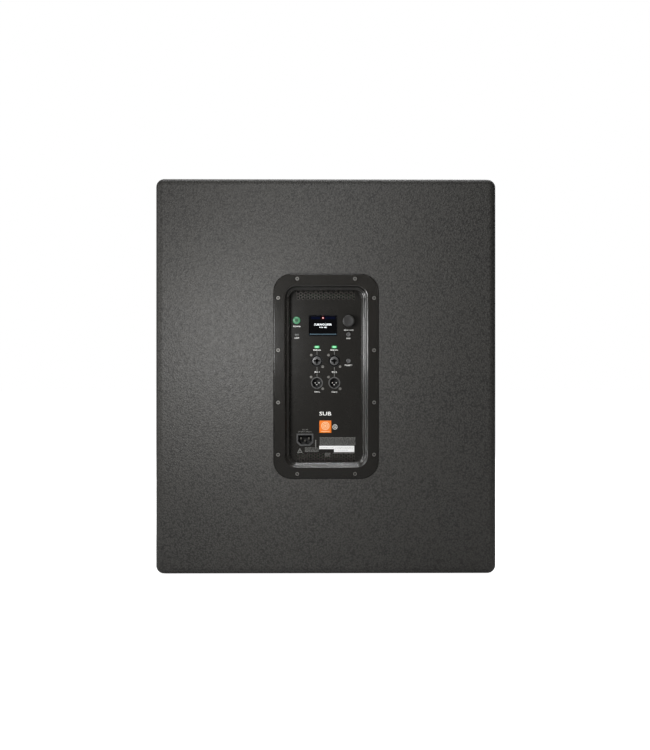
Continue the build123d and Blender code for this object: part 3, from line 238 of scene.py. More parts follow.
def shift(obj, move):
    """Moves an object's mesh."""
    obj.data.transform(Matrix.Translation(move))
    return obj


def copies(obj, spots):
    """Copies of an object with their own meshes, one for each (across, up) spot, in place of the first."""
    made = []
    for across, up in spots:
        again = obj.copy()
        again.data = obj.data.copy()
        again.data.transform(Matrix.Translation((across, up, 0)))
        bpy.context.scene.collection.objects.link(again)
        made.append(again)
    bpy.data.objects.remove(obj)
    return made


def ends(obj):
    """The lowest and highest corners of an object's mesh."""
    corners = [Vector(corner) for corner in obj.bound_box]
    return tuple(Vector([end(c[axis] for c in corners) for axis in range(3)]) for end in (min, max))


def outward(obj):
    """Merges doubled points and turns all faces outwards."""
    with editing(obj):
        bpy.ops.mesh.select_all(action="SELECT")
        bpy.ops.mesh.remove_doubles(threshold=1e-6)
        bpy.ops.mesh.normals_make_consistent(inside=False)
    return obj


def settle(obj, name, finish, place=None, body=ROOT, angle=32.0):
    """Names a finished piece, puts its place in its mesh, and gives it a finish and a body to ride on."""
    obj.name = obj.data.name = name
    obj.data.transform((place or Matrix.Identity(4)) @ obj.matrix_basis)
    obj.matrix_basis = Matrix.Identity(4)
    obj.data.materials.clear()
    obj.data.materials.append(finish)
    alone(obj)
    bpy.ops.object.shade_smooth_by_angle(angle=math.radians(angle))
    if body:
        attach(obj, body)
    return obj


def node_copy(node):
    """A merged copy of a node's mesh, to be worked on as a new piece."""
    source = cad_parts[node]
    made = bpy.data.objects.new(node + "_copy", source.data.copy())
    bpy.context.scene.collection.objects.link(made)
    with editing(made):
        bpy.ops.mesh.select_all(action="SELECT")
        bpy.ops.mesh.remove_doubles(threshold=1e-6)
    return made


def solid_boxes(node):
    """The boxes of a node's separate solids, as (lowest corner, highest corner)."""
    made = node_copy(node)
    with editing(made):
        bpy.ops.mesh.select_all(action="SELECT")
        bpy.ops.mesh.separate(type="LOOSE")
    boxes = []
    for part in list(bpy.context.selected_objects):
        boxes.append(ends(part))
        bpy.data.objects.remove(part)
    return sorted(boxes, key=lambda box: tuple(box[0]))


def turned(outline, steps=96, thickness=0.0):
    """A profile of (radius, height) points drawn from one vertex and spun once round z."""
    obj = primitive("plane", size=MM)
    with editing(obj, "VERT"):
        bpy.ops.mesh.select_all(action="SELECT")
        bpy.ops.mesh.merge(type="CENTER")
        bpy.ops.transform.translate(value=(outline[0][0], 0, outline[0][1]))
        for (from_r, from_h), (to_r, to_h) in zip(outline, outline[1:]):
            step = (to_r - from_r, 0, to_h - from_h)
            bpy.ops.mesh.extrude_region_move(TRANSFORM_OT_translate={"value": step})
        bpy.ops.mesh.select_all(action="SELECT")
        bpy.ops.mesh.spin(steps=steps, angle=math.tau, center=(0, 0, 0), axis=(0, 0, 1))
    outward(obj)
    if thickness:
        apply(obj, "SOLIDIFY", thickness=thickness, offset=0.0)
    return obj


def disc(radius, bottom, top, bevel=0.0, vertices=48):
    """A cylinder between two heights, with its upper edge bevelled."""
    obj = primitive("cylinder", vertices=vertices, radius=radius, depth=top - bottom)
    shift(obj, (0, 0, (bottom + top) / 2))
    if bevel:
        with editing(obj, "EDGE"):
            pick(obj, rim_at(top), "edges")
            bpy.ops.mesh.bevel(offset=bevel, segments=3)
    return obj


# ---------------------------------------------------------------- finishes
class Finish:
    """A node material on the piece's own coordinates, built round one Principled shader."""

    def __init__(self, name, roughness=0.5, metallic=0.0, **sockets):
        self.material = bpy.data.materials.new(name)
        self.material.use_nodes = True
        self.tree = self.material.node_tree
        self.shader = self.tree.nodes["Principled BSDF"]
        self.set("Roughness", roughness)
        self.set("Metallic", metallic)
        for socket, value in sockets.items():
            self.set(socket.replace("_", " "), value)
        self.place = self.node("ShaderNodeTexCoord").outputs["Object"]

    def set(self, socket, value):
        """Sets a value on the shader, or links a pattern to it."""
        target = self.shader.inputs[socket]
        if isinstance(value, bpy.types.NodeSocket):
            self.tree.links.new(value, target)
        elif hasattr(value, "__len__"):
            target.default_value = (*value, 1.0)[:4]
        else:
            target.default_value = value

    def node(self, kind, inputs=(), **settings):
        """A node with its settings, and its inputs set or linked by name or number."""
        made = self.tree.nodes.new(kind)
        for key, value in settings.items():
            setattr(made, key, value)
        for key, value in dict(inputs).items():
            if isinstance(value, bpy.types.NodeSocket):
                self.tree.links.new(value, made.inputs[key])
            else:
                made.inputs[key].default_value = value
        return made

    def stretched(self, scale):
        """The piece's coordinates with each axis scaled."""
        return self.node("ShaderNodeMapping", {"Vector": self.place, "Scale": scale}).outputs["Vector"]

    def noise(self, size, detail=3.0, stretch=None, distortion=0.0):
        """Cloudy noise with features of a size in metres."""
        place = self.stretched(stretch) if stretch else self.place
        inputs = {"Vector": place, "Scale": 1.0 / size, "Detail": detail, "Distortion": distortion}
        return self.node("ShaderNodeTexNoise", inputs).outputs["Fac"]

    def pebbles(self, size, smooth=0.7):
        """Rounded pebbles of a size in metres."""
        inputs = {"Vector": self.place, "Scale": 1.0 / size, "Smoothness": smooth}
        return self.node("ShaderNodeTexVoronoi", inputs, feature="SMOOTH_F1").outputs["Distance"]

    def waves(self, size, direction):
        """Parallel ridges a size apart. The wave texture has 20 / tau ridges to a unit at a scale of 1."""
        inputs = {"Vector": self.place, "Scale": math.tau / size / 20.0, "Distortion": 0.0, "Detail": 0.0}
        return self.node("ShaderNodeTexWave", inputs, bands_direction=direction).outputs["Fac"]

    def span(self, value, low, high, from_low=0.3, from_high=0.7):
        """A pattern brought from its own range to another."""
        inputs = {"Value": value, "From Min": from_low, "From Max": from_high, "To Min": low, "To Max": high}
        return self.node("ShaderNodeMapRange", inputs).outputs["Result"]

    def mix(self, factor, first, second):
        """Two colours or patterns mixed by a factor."""
        made = self.node("ShaderNodeMix", data_type="RGBA")
        for key, value in ((0, factor), (6, first), (7, second)):
            if isinstance(value, bpy.types.NodeSocket):
                self.tree.links.new(value, made.inputs[key])
            elif hasattr(value, "__len__"):
                made.inputs[key].default_value = (*value, 1.0)[:4]
            else:
                made.inputs[key].default_value = value
        return made.outputs[2]

    def math(self, operation, first, second=0.0):
        """One arithmetic step."""
        return self.node("ShaderNodeMath", {0: first, 1: second}, operation=operation).outputs[0]

    def axis(self, name):
        """One of the piece's coordinates."""
        return self.node("ShaderNodeSeparateXYZ", {0: self.place}).outputs[name]

    def relief(self, height, distance, strength=1.0):
        """Relief of a height in metres from a pattern, on top of what is there."""
        inputs = {"Height": height, "Distance": distance, "Strength": strength}
        link = self.shader.inputs["Normal"].links
        if link:
            inputs["Normal"] = link[0].from_socket
        self.set("Normal", self.node("ShaderNodeBump", inputs).outputs["Normal"])
        return self

    def tone(self, base, vary, pattern):
        """A base colour that a pattern makes darker and lighter by a share."""
        dark = [channel * (1 - vary) for channel in base]
        light = [min(1.0, channel * (1 + vary)) for channel in base]
        self.set("Base Color", self.mix(self.span(pattern, 0.0, 1.0), dark, light))
        return self


def grained(name, base, grain, relief, roughness=(0.45, 0.6), vary=0.15, metallic=0.0, **sockets):
    """Moulded plastic, rubber or paint: fine grain, cloudy tone and uneven gloss."""
    made = Finish(name, metallic=metallic, **sockets)
    made.tone(base, vary, made.noise(40 * grain, 4.0))
    made.set("Roughness", made.span(made.noise(25 * grain, 5.0), *roughness))
    made.relief(made.noise(grain, 2.0), relief)
    return made.material


def brushed(name, base, roughness=(0.25, 0.42), along="Z", scratch=0.35 * MM, vary=0.12):
    """Bare metal with fine lines along one axis."""
    stretch = [0.04 if axis == along else 1.0 for axis in "XYZ"]
    made = Finish(name, metallic=1.0)
    lines = made.noise(scratch, 3.0, stretch)
    made.tone(base, vary, lines)
    made.set("Roughness", made.span(lines, *roughness))
    made.relief(lines, 0.02 * MM)
    return made.material


def woven(name, base, thread, relief=0.15 * MM, roughness=0.9, vary=0.35):
    """Cloth: two sets of threads across each other, with a soft sheen."""
    made = Finish(name, roughness=roughness, Sheen_Weight=0.25, Sheen_Roughness=0.6)
    warp = made.waves(thread, "X")
    weft = made.waves(thread, "Z")
    weave = made.math("MULTIPLY", warp, weft)
    made.tone(base, vary, made.math("ADD", made.math("MULTIPLY", weave, 0.5), made.noise(12 * thread)))
    made.relief(weave, relief)
    return made.material


def coating_finish():
    """Black textured coating over plywood. The wood is bare on the cabinet's inside."""
    made = Finish("textured_coating", Specular_IOR_Level=0.5)
    stipple, base = sizes().stipple, colours().coating
    pebbles = made.pebbles(stipple, 0.9)
    fine = made.noise(stipple * 0.55, 3.0)
    clouds = made.noise(0.09, 4.0)
    height = made.math("ADD", made.math("MULTIPLY", pebbles, -1.0), made.math("MULTIPLY", fine, 0.5))
    speckle = made.span(height, 0.0, 1.0, -0.45, 0.25)
    coat = made.mix(speckle, [c * 0.40 for c in base], [min(1.0, c * 1.72) for c in base])
    coat = made.mix(made.span(clouds, 0.0, 0.25), coat, (base[0] * 1.1, base[1] * 1.05, base[2]))
    grain = made.noise(0.004, 6.0, (0.2, 0.2, 2.0), 0.4)
    wood = made.mix(made.span(grain, 0.0, 1.0), (0.36, 0.24, 0.13), (0.56, 0.41, 0.25))
    made.set("Base Color", made.mix(inside_mask(made), coat, wood))
    made.set("Roughness", made.span(made.noise(stipple * 3, 4.0), 0.50, 0.62))
    made.relief(height, sizes().stipple_relief)
    return made.material


def inside_mask(made):
    """1 well inside the cabinet's skin and 0 at its outer surfaces."""
    skin = 8 * MM
    shares = []
    for name, low, high in zip("XYZ", CABINET_LOW, CABINET_HIGH):
        centre, half = (low + high) / 2, (high - low) / 2 - skin
        if name == "Y":
            centre, half = (BAFFLE_Y + REAR_Y) / 2, (REAR_Y - BAFFLE_Y) / 2 - skin
        away = made.math("ABSOLUTE", made.math("SUBTRACT", made.axis(name), centre))
        shares.append(made.math("DIVIDE", away, half))
    largest = made.math("MAXIMUM", made.math("MAXIMUM", shares[0], shares[1]), shares[2])
    return made.math("LESS_THAN", largest, 1.0)


def plywood_finish():
    """Bare plywood: veneer grain, and plies across the edge."""
    made = Finish("bare_plywood", roughness=0.7)
    grain = made.noise(0.005, 6.0, (0.25, 2.0, 0.25), 0.5)
    made.set("Base Color", made.mix(made.span(grain, 0.0, 1.0), (0.40, 0.27, 0.15), (0.60, 0.45, 0.28)))
    made.relief(grain, 0.1 * MM)
    return made.material


def depth_split(name, rim):
    """A finish for a socket: its rim's colour above the panel's surface, and painted shade, near black,
    inside it.
    """
    grain, inside = 0.5 * MM, (0.004, 0.004, 0.004)
    made = Finish(name)
    at_rim = made.math("GREATER_THAN", made.axis("Y"), REAR_Y + PANEL_TOP + 0.1 * MM)
    cloud = made.span(made.noise(20 * grain, 4.0), 0.85, 1.15)
    # Below the panel's surface the colour is near black: painted shade in the socket's cavity.
    split = made.mix(at_rim, inside, rim)
    shade = made.node("ShaderNodeVectorMath", {0: split, "Scale": cloud}, operation="SCALE")
    made.set("Base Color", shade.outputs["Vector"])
    made.set("Roughness", made.span(made.noise(10 * grain), 0.35, 0.5))
    made.relief(made.noise(grain), 0.02 * MM)
    return made.material


def board_finish():
    """Green solder mask with copper tracks under it."""
    made = Finish("circuit_board", Coat_Weight=0.4, Coat_Roughness=0.2)
    tracks = made.node(
        "ShaderNodeTexBrick",
        {"Vector": made.stretched((1, 1, 1)), "Scale": 120.0, "Mortar Size": 0.03, "Color1": (0, 0, 0, 1),
         "Color2": (0.15, 0.15, 0.15, 1), "Mortar": (1, 1, 1, 1)},
    )  # fmt: skip
    made.set("Base Color", made.mix(tracks.outputs["Fac"], (0.004, 0.035, 0.013), (0.015, 0.09, 0.035)))
    made.set("Roughness", made.span(made.noise(0.01), 0.3, 0.5))
    made.relief(tracks.outputs["Fac"], 0.05 * MM)
    return made.material


def glowing(name, base, strength, roughness=0.3):
    """A lit lens, brightest in blotches."""
    made = Finish(name, roughness=roughness, Emission_Strength=strength)
    made.tone(base, 0.15, made.noise(1.2 * MM))
    blotches = made.span(made.noise(1.5 * MM), 0.0, 1.0)
    made.set("Emission Color", made.mix(blotches, base, [min(1, c * 1.15) for c in base]))
    return made.material


def screw_finish():
    """Dull black zinc. The hexagon sockets of the amplifier's screws lie in shade."""
    made = Finish("black_zinc", metallic=0.55)
    depth = made.math("SUBTRACT", REAR_Y, made.axis("Y"))
    below_head = made.math("GREATER_THAN", depth, 0.75 * MM)
    in_socket = made.math("MULTIPLY", below_head, made.math("LESS_THAN", depth, 2.2 * MM))
    cloud = made.noise(0.6 * MM, 3.0)
    zinc = made.mix(made.span(cloud, 0.0, 1.0), (0.10, 0.097, 0.09), (0.20, 0.195, 0.18))
    made.set("Base Color", made.mix(in_socket, zinc, (0.006, 0.006, 0.006)))
    made.set("Roughness", made.span(cloud, 0.42, 0.55))
    made.relief(cloud, 0.01 * MM)
    return made.material


def signal_finish():
    """A lit diffuser: a pale core in deep green, for the two signal lights."""
    base = colours().signal_light
    made = Finish("signal_diffuser", roughness=0.35)
    middle, half = sum(INPUT_COLUMNS) / 2, (INPUT_COLUMNS[1] - INPUT_COLUMNS[0]) / 2
    across = made.math("ABSOLUTE", made.math("ADD", made.axis("X"), middle))
    across = made.math("ABSOLUTE", made.math("SUBTRACT", across, half))
    across = made.math("DIVIDE", made.math("MAXIMUM", made.math("SUBTRACT", across, 1.9 * MM), 0.0), 2.9 * MM)
    up = made.math("DIVIDE", made.math("SUBTRACT", made.axis("Z"), MIDDLE_Z + SIGNAL_UP), 2.6 * MM)
    square = made.math("ADD", made.math("MULTIPLY", across, across), made.math("MULTIPLY", up, up))
    reach = made.math("SQRT", square)
    core = made.span(reach, 1.0, 0.0, 0.18, 0.55)
    halo = made.span(reach, 1.0, 0.0, 0.4, 1.25)
    edge = made.mix(halo, (0.004, 0.012, 0.006), [c * 0.3 for c in base])
    made.set("Base Color", made.mix(halo, (0.008, 0.02, 0.01), (0.03, 0.2, 0.07)))
    made.set("Emission Color", made.mix(core, edge, (0.45, 1.0, 0.66)))
    made.set("Emission Strength", 1.0)
    made.relief(made.noise(0.8 * MM), 0.01 * MM)
    return made.material


def power_key_finish():
    """Tinted lens over a light: milky at its rim and deeper in the middle."""
    base = colours().power_key
    made = Finish("power_key_lens", Coat_Weight=0.6, Coat_Roughness=0.08, Emission_Strength=0.3)
    centre = (-POWER_AT[0], REAR_Y, MIDDLE_Z + POWER_AT[1])
    offset = made.node("ShaderNodeVectorMath", {0: made.place, 1: centre}, operation="SUBTRACT")
    flat = made.node("ShaderNodeVectorMath", {0: offset.outputs[0], 1: (1, 0, 1)}, operation="MULTIPLY")
    reach = made.node("ShaderNodeVectorMath", {0: flat.outputs[0]}, operation="LENGTH").outputs["Value"]
    ring = made.span(reach, 0.0, 1.0, 1.5 * MM, 6.0 * MM)
    made.set("Base Color", made.mix(ring, [c * 0.5 for c in base], [min(1, c * 1.6 + 0.06) for c in base]))
    made.set("Emission Color", made.mix(ring, [c * 0.3 for c in base], base))
    made.set("Roughness", made.span(made.noise(2 * MM), 0.16, 0.3))
    made.relief(made.noise(1.0 * MM), 0.01 * MM)
    return made.material


def lens_finish():
    """Clear acrylic with faint smears."""
    made = Finish("clear_lens", Transmission_Weight=1.0, IOR=1.47)
    made.tone((0.86, 0.88, 0.90), 0.03, made.noise(0.02))
    made.set("Roughness", made.span(made.noise(6 * MM, 5.0), 0.01, 0.06))
    made.relief(made.noise(8 * MM), 0.005 * MM)
    return made.material


# Grained finishes: material, colour (or its name among the colours), grain and relief in millimetres, then
# roughness from and to, how much the tone varies, and how metallic it is
GRAINED_FINISHES = {
    "grille": ("grille_powder_coat", (0.014, 0.014, 0.0145), 0.5, 0.03, (0.42, 0.55)),
    "grip": ("grip_sleeve", (0.012, 0.012, 0.012), 0.6, 0.05, (0.55, 0.7)),
    "pole_steel": ("pole_powder_coat", (0.02, 0.02, 0.021), 0.6, 0.04, (0.35, 0.5), 0.2, 0.3),
    "rubber": ("foot_rubber", (0.014, 0.014, 0.014), 0.8, 0.06, (0.7, 0.85)),
    "casting": ("cast_frame", (0.03, 0.03, 0.031), 1.2, 0.1, (0.4, 0.55), 0.2, 0.4),
    "gasket": ("closed_foam", (0.015, 0.015, 0.015), 0.9, 0.15, (0.85, 0.95)),
    "cone": ("pulp_cone", (0.016, 0.0155, 0.015), 1.8, 0.18, (0.7, 0.85), 0.3),
    "magnet": ("magnet_ring", (0.05, 0.05, 0.052), 1.5, 0.08, (0.45, 0.6), 0.25, 0.5),
    "dark_plastic": ("dark_moulding", (0.02, 0.02, 0.02), 0.6, 0.04, (0.4, 0.6)),
    "lead": ("lead_sleeve", (0.20, 0.012, 0.012), 0.8, 0.02, (0.4, 0.5)),
    "panel": ("panel_coat", "panel", 0.5, 0.002, (0.19, 0.21), 0.05),
    "small_key": ("small_key", (0.05, 0.05, 0.052), 0.4, 0.02, (0.3, 0.45)),
    "knob": ("knob_satin", "knob", 0.35, 0.004, (0.26, 0.34)),
    "bezel": ("bezel_gloss", (0.008, 0.008, 0.009), 1.5, 0.005, (0.12, 0.22)),
    "combo": ("combo_shell", (0.006, 0.006, 0.006), 0.5, 0.015, (0.2, 0.35)),
    "badge": ("badge_plate", "badge", 0.8, 0.008, (0.25, 0.36), 0.08),
    "sticker": ("blank_sticker", (0.92, 0.92, 0.91), 0.6, 0.01, (0.4, 0.55), 0.04),
    "enclosure": ("black_steel", (0.02, 0.02, 0.021), 0.8, 0.02, (0.4, 0.55), 0.2, 0.2),
    "legend": ("legend_ink", "legend", 0.4, 0.004, (0.4, 0.55), 0.06),
    "faint_legend": ("faint_ink", "faint_legend", 0.4, 0.004, (0.4, 0.55), 0.1),
    "badge_symbol": ("badge_ink", (0.95, 0.62, 0.36), 0.5, 0.005, (0.3, 0.4), 0.05),
    "insert": ("insert_satin", (0.10, 0.10, 0.10), 0.4, 0.015, (0.22, 0.36), 0.15, 0.4),
    # Light grey ring on each small key: painted highlight round the key's rim.
    "key_rim": ("key_rim", (0.16, 0.16, 0.155), 0.3, 0.004, (0.3, 0.42), 0.15, 0.6),
    "label_print": ("label_ink", (0.55, 0.55, 0.54), 0.4, 0.002, (0.4, 0.55), 0.08),
    # Pale grey vent rims: painted highlight on the edges of the vent cells.
    "cell_edge": ("cell_edge", (0.085, 0.078, 0.068), 0.4, 0.004, (0.3, 0.4), 0.2),
    "signal_off": ("signal_off", (0.12, 0.125, 0.12), 0.4, 0.01, (0.2, 0.35)),
    "screen": ("screen_black", (0.002, 0.002, 0.0025), 1.0, 0.0005, (0.05, 0.09)),
    "foam": ("open_foam", "foam", 1.4, 0.5, (0.9, 1.0), 0.4),
    "symbol_ink": ("symbol_ink", (0.01, 0.05, 0.02), 0.4, 0.004, (0.4, 0.5)),
}
OTHER_FINISHES = {
    "coating": coating_finish,
    "plywood": plywood_finish,
    "screw": screw_finish,
    "zinc": lambda: brushed("bright_zinc", (0.55, 0.55, 0.54)),
    "moulding": lambda: grained(
        "moulded_black", colours().moulding, sizes().moulding_grain, 0.002 * MM, (0.15, 0.17), 0.05
    ),
    "surround_cloth": lambda: woven("doped_cloth", (0.016, 0.015, 0.0145), 0.9 * MM, roughness=0.6),
    "spider_cloth": lambda: woven("treated_cotton", (0.42, 0.27, 0.10), 0.9 * MM),
    "copper": lambda: brushed("copper_winding", (0.70, 0.30, 0.16), (0.25, 0.4), "X", 0.5 * MM),
    "steel": lambda: brushed("machined_steel", (0.42, 0.42, 0.43)),
    "wadding": lambda: woven("white_wadding", (0.62, 0.61, 0.57), 2.2 * MM, 0.8 * MM, 1.0, 0.2),
    "power_key": power_key_finish,
    "lens": lens_finish,
    "thru": lambda: depth_split("thru_shell", colours().socket_rim),
    "inlet": lambda: depth_split("inlet_shell", (0.055, 0.055, 0.055)),
    "board": board_finish,
    "heat_sink": lambda: brushed("extruded_aluminium", (0.60, 0.61, 0.62)),
    # Dark grey-brown metal: painted shade on the tinned blades deep in the inlet.
    "blades": lambda: brushed("dull_blades", (0.16, 0.15, 0.13), (0.35, 0.5), "Y"),
    "pins": lambda: brushed("nickel_pins", (0.85, 0.84, 0.80), (0.32, 0.45), "Y"),
    "signal_lit": signal_finish,
    "screen_text": lambda: glowing("screen_text", (0.80, 0.84, 0.86), 0.75, 0.1),
    "screen_bar": lambda: glowing("screen_bar", (0.001, 0.002, 0.010), 0.35, 0.06),
    # Pale blue glow: painted reflection on the lower wall of the display's window.
    "screen_edge": lambda: glowing("screen_edge", (0.09, 0.14, 0.175), 0.6, 0.1),
    "screen_mark": lambda: glowing("screen_mark", (0.30, 0.015, 0.01), 0.4, 0.1),
}
_made_finishes = {}


def finish(name):
    """A finish by its short name, made the first time it is asked for."""
    if name not in _made_finishes:
        if name in GRAINED_FINISHES:
            material, base, grain, relief, *rest = GRAINED_FINISHES[name]
            if isinstance(base, str):
                base = getattr(colours(), base)
            _made_finishes[name] = grained(material, base, grain * MM, relief * MM, *rest)
        else:
            _made_finishes[name] = OTHER_FINISHES[name]()
    return _made_finishes[name]


NODE_FINISHES = {
    "coating": [
        "left_side_panel", "right_side_panel", "top_panel", "bottom_panel", "rear_panel", "front_baffle",
        "port_shelf", "port_ribs",
    ],
    "plywood": ["window_brace", "grille_battens"],
    "screw": ["grille_screws", "hardware_screws", "woofer_bolts", "amp_screws", "connector_screws"],
    "zinc": ["foot_screws", "woofer_tee_nuts"],
    "moulding": ["left_handle_cup", "right_handle_cup", "amp_frame"],
    "grip": ["handle_grips"],
    "pole_steel": ["pole_socket"],
    "rubber": ["rubber_feet"],
    "casting": ["woofer_frame"],
    "gasket": ["woofer_gasket", "amp_gasket"],
    "cone": ["woofer_cone", "woofer_dust_cap"],
    "copper": ["voice_coil"],
    "magnet": ["woofer_magnet"],
    "steel": ["woofer_top_plate", "woofer_pole_piece", "encoder_body", "encoder_collar", "encoder_shaft"],
    "dark_plastic": ["woofer_terminals"],
    "lead": ["speaker_leads"],
    "panel": ["control_panel"],
    "power_key": ["power_button"],
    "small_key": ["back_button", "polarity_button"],
    "knob": ["encoder_knob"],
    "lens": ["display_lens"],
    "bezel": ["display_module"],
    "signal_off": ["indicator_leds"],
    "combo": ["combo_inputs"],
    "thru": ["thru_outputs"],
    "inlet": ["mains_inlet"],
    "badge": ["panel_badge"],
    "sticker": ["rating_label"],
    "board": ["control_board", "input_board", "power_board"],
    "heat_sink": ["heat_sink"],
    "enclosure": ["amp_enclosure"],
}  # fmt: skip


# ---------------------------------------------------------------- stage
class SUBWOOFER_OT_stage(bpy.types.Operator):
    """Make the camera, the lights, the white surroundings and the pale floor"""

    bl_idname = "subwoofer.stage"
    bl_label = "Stage"

    def execute(self, context):
        self.camera(context.scene)
        self.lights(context.scene)
        self.edge_strips(context.scene)
        self.surroundings(context.scene)
        self.floor()
        return {"FINISHED"}

    def camera(self, scene):
        """A long lens square to the rear face, a little to the left of its middle."""
        distance, view_height = 2.7, 1.3084
        data = bpy.data.cameras.new("Camera")
        data.sensor_width = 36.0
        data.lens = data.sensor_width * distance / view_height
        camera = bpy.data.objects.new("Camera", data)
        camera.location = (0.040, REAR_Y + distance, MIDDLE_Z + 0.0025)
        aim = Vector((0.0020, REAR_Y, MIDDLE_Z + 0.0023)) - camera.location
        camera.rotation_euler = aim.to_track_quat("-Z", "Y").to_euler()
        scene.collection.objects.link(camera)
        scene.camera = camera
        scene.view_settings.view_transform = "Standard"

    def lamp(self, scene, name, place, wide, high, power):
        """A soft lamp of a width and height that faces the middle of the rear, unseen itself."""
        data = bpy.data.lights.new(name, "AREA")
        data.shape = "RECTANGLE"
        data.size, data.size_y, data.energy = wide, high, power
        lamp = bpy.data.objects.new(name, data)
        lamp.location = place
        facing = Vector((0, REAR_Y, MIDDLE_Z)) - Vector(place)
        lamp.rotation_euler = facing.to_track_quat("-Z", "Y").to_euler()
        lamp.visible_camera = False
        scene.collection.objects.link(lamp)
        return lamp

    def lights(self, scene):
        """A near softbox, one over it, a rim light, and weak fills for the other sides."""
        for name, place, size, power in (
            ("Key", (0.20, REAR_Y + 0.40, MIDDLE_Z + 0.07), 0.12, 1.75),
            ("Key_spread", (0.02, REAR_Y + 0.75, MIDDLE_Z + 0.58), 0.25, 3.0),
            ("Rim", (1.7, REAR_Y + 0.45, MIDDLE_Z + 0.35), 0.7, 7.0),
            ("Overhead", (0.0, -0.9, 3.0), 2.0, 50.0),
            ("Front_fill", (-1.6, -2.6, 2.0), 1.8, 60.0),
        ):
            self.lamp(scene, name, place, size, size, power)

    def edge_strips(self, scene):
        """Long thin lamps beside and over the recess, which light only its moulded frame."""
        lit = bpy.data.collections.new("Edge_lit")
        lit.objects.link(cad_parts["amp_frame"])
        for strip in (
            ("Edge_side", (0.75, REAR_Y + 0.24, MIDDLE_Z - 0.06), 0.04, 0.80, 6.0),
            ("Edge_top", (0.03, REAR_Y + 0.26, MIDDLE_Z + 0.85), 0.50, 0.04, 13.0),
        ):
            self.lamp(scene, *strip).light_linking.receiver_collection = lit

    def surroundings(self, scene):
        """White as the camera sees it, and a dim light on the object."""
        world = bpy.data.worlds.new("White")
        world.use_nodes = True
        scene.world = world
        nodes, links = world.node_tree.nodes, world.node_tree.links
        rays = nodes.new("ShaderNodeLightPath")
        strength = nodes.new("ShaderNodeMapRange")
        strength.inputs["To Min"].default_value = 0.05
        strength.inputs["To Max"].default_value = 1.0
        links.new(rays.outputs["Is Camera Ray"], strength.inputs["Value"])
        nodes["Background"].inputs["Color"].default_value = (1, 1, 1, 1)
        links.new(strength.outputs["Result"], nodes["Background"].inputs["Strength"])

    def floor(self):
        """A wide pale floor."""
        floor = primitive("grid", x_subdivisions=4, y_subdivisions=4, size=60.0)
        floor.name = "Floor"
        made = Finish("pale_floor", roughness=0.7, Emission_Color=(1, 1, 1))
        made.tone((0.80, 0.80, 0.80), 0.01, made.noise(0.5))
        seen = made.node("ShaderNodeLightPath").outputs["Is Camera Ray"]
        made.set("Emission Strength", seen)
        floor.data.materials.append(made.material)


# ---------------------------------------------------------------- the frame's own nodes
class SUBWOOFER_OT_finishes(bpy.types.Operator):
    """Give every solid of the frame its finish"""

    bl_idname = "subwoofer.finishes"
    bl_label = "Finishes"

    def execute(self, context):
        for name, nodes in NODE_FINISHES.items():
            for node in nodes:
                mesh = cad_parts[node].data
                mesh.materials.clear()
                mesh.materials.append(finish(name))
        return {"FINISHED"}


# ---------------------------------------------------------------- front
class SUBWOOFER_OT_grille(bpy.types.Operator):
    """Model the perforated steel grille"""

    bl_idname = "subwoofer.grille"
    bl_label = "Perforated grille"

    def execute(self, context):
        low, high = (Vector(corner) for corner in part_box("front_grille"))
        width, height = high.x - low.x, high.z - low.z
        border = sizes().grille_border
        open_width, open_height = width - 2 * border, height - 2 * border
        sheet = 1.6 * MM
        edge = node_copy("front_grille")
        opening = (open_width, 0.05, open_height)
        cut(edge, primitive("cube", size=1.0, location=(0, low.y, MIDDLE_Z), scale=opening))
        lattice = self.lattice(open_width, open_height, sheet)
        lattice.data.transform(ON_GRILLE)
        grille = join([lattice, edge])
        settle(grille, "grille_sheet", finish("grille"), angle=30.0)
        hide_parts("front_grille")
        return {"FINISHED"}

    def lattice(self, width, height, thickness):
        """Six-sided holes side by side, cut to the opening's size."""
        pitch, web = sizes().grille_pitch, sizes().grille_web
        radius = pitch / math.sqrt(3)
        row = 1.5 * radius
        obj = primitive("circle", vertices=6, radius=radius, fill_type="NGON")
        with editing(obj):
            bpy.ops.mesh.select_all(action="SELECT")
            bpy.ops.mesh.inset(thickness=web)
            bpy.ops.mesh.delete(type="FACE")
            bpy.ops.mesh.select_all(action="SELECT")
            bpy.ops.mesh.duplicate_move(TRANSFORM_OT_translate={"value": (pitch / 2, row, 0)})
        columns, rows = math.ceil(width / pitch) + 2, math.ceil(height / (2 * row)) + 1
        array = {"use_relative_offset": False, "use_constant_offset": True}
        apply(obj, "ARRAY", count=columns, constant_offset_displace=(pitch, 0, 0), **array)
        apply(obj, "ARRAY", count=rows, constant_offset_displace=(0, 2 * row, 0), **array)
        shift(obj, (-(columns - 0.5) * pitch / 2, -(rows - 0.5) * row, 0))
        with editing(obj):
            bpy.ops.mesh.select_all(action="SELECT")
            bpy.ops.mesh.remove_doubles(threshold=1e-5)
            for place, normal in (
                ((width / 2, 0, 0), (1, 0, 0)), ((-width / 2, 0, 0), (-1, 0, 0)),
                ((0, height / 2, 0), (0, 1, 0)), ((0, -height / 2, 0), (0, -1, 0)),
            ):  # fmt: skip
                bpy.ops.mesh.select_all(action="SELECT")
                bpy.ops.mesh.bisect(plane_co=place, plane_no=normal, clear_outer=True)
            bpy.ops.mesh.select_all(action="SELECT")
            bpy.ops.mesh.normals_make_consistent(inside=False)
        apply(obj, "SOLIDIFY", thickness=thickness, offset=-1.0)
        return obj


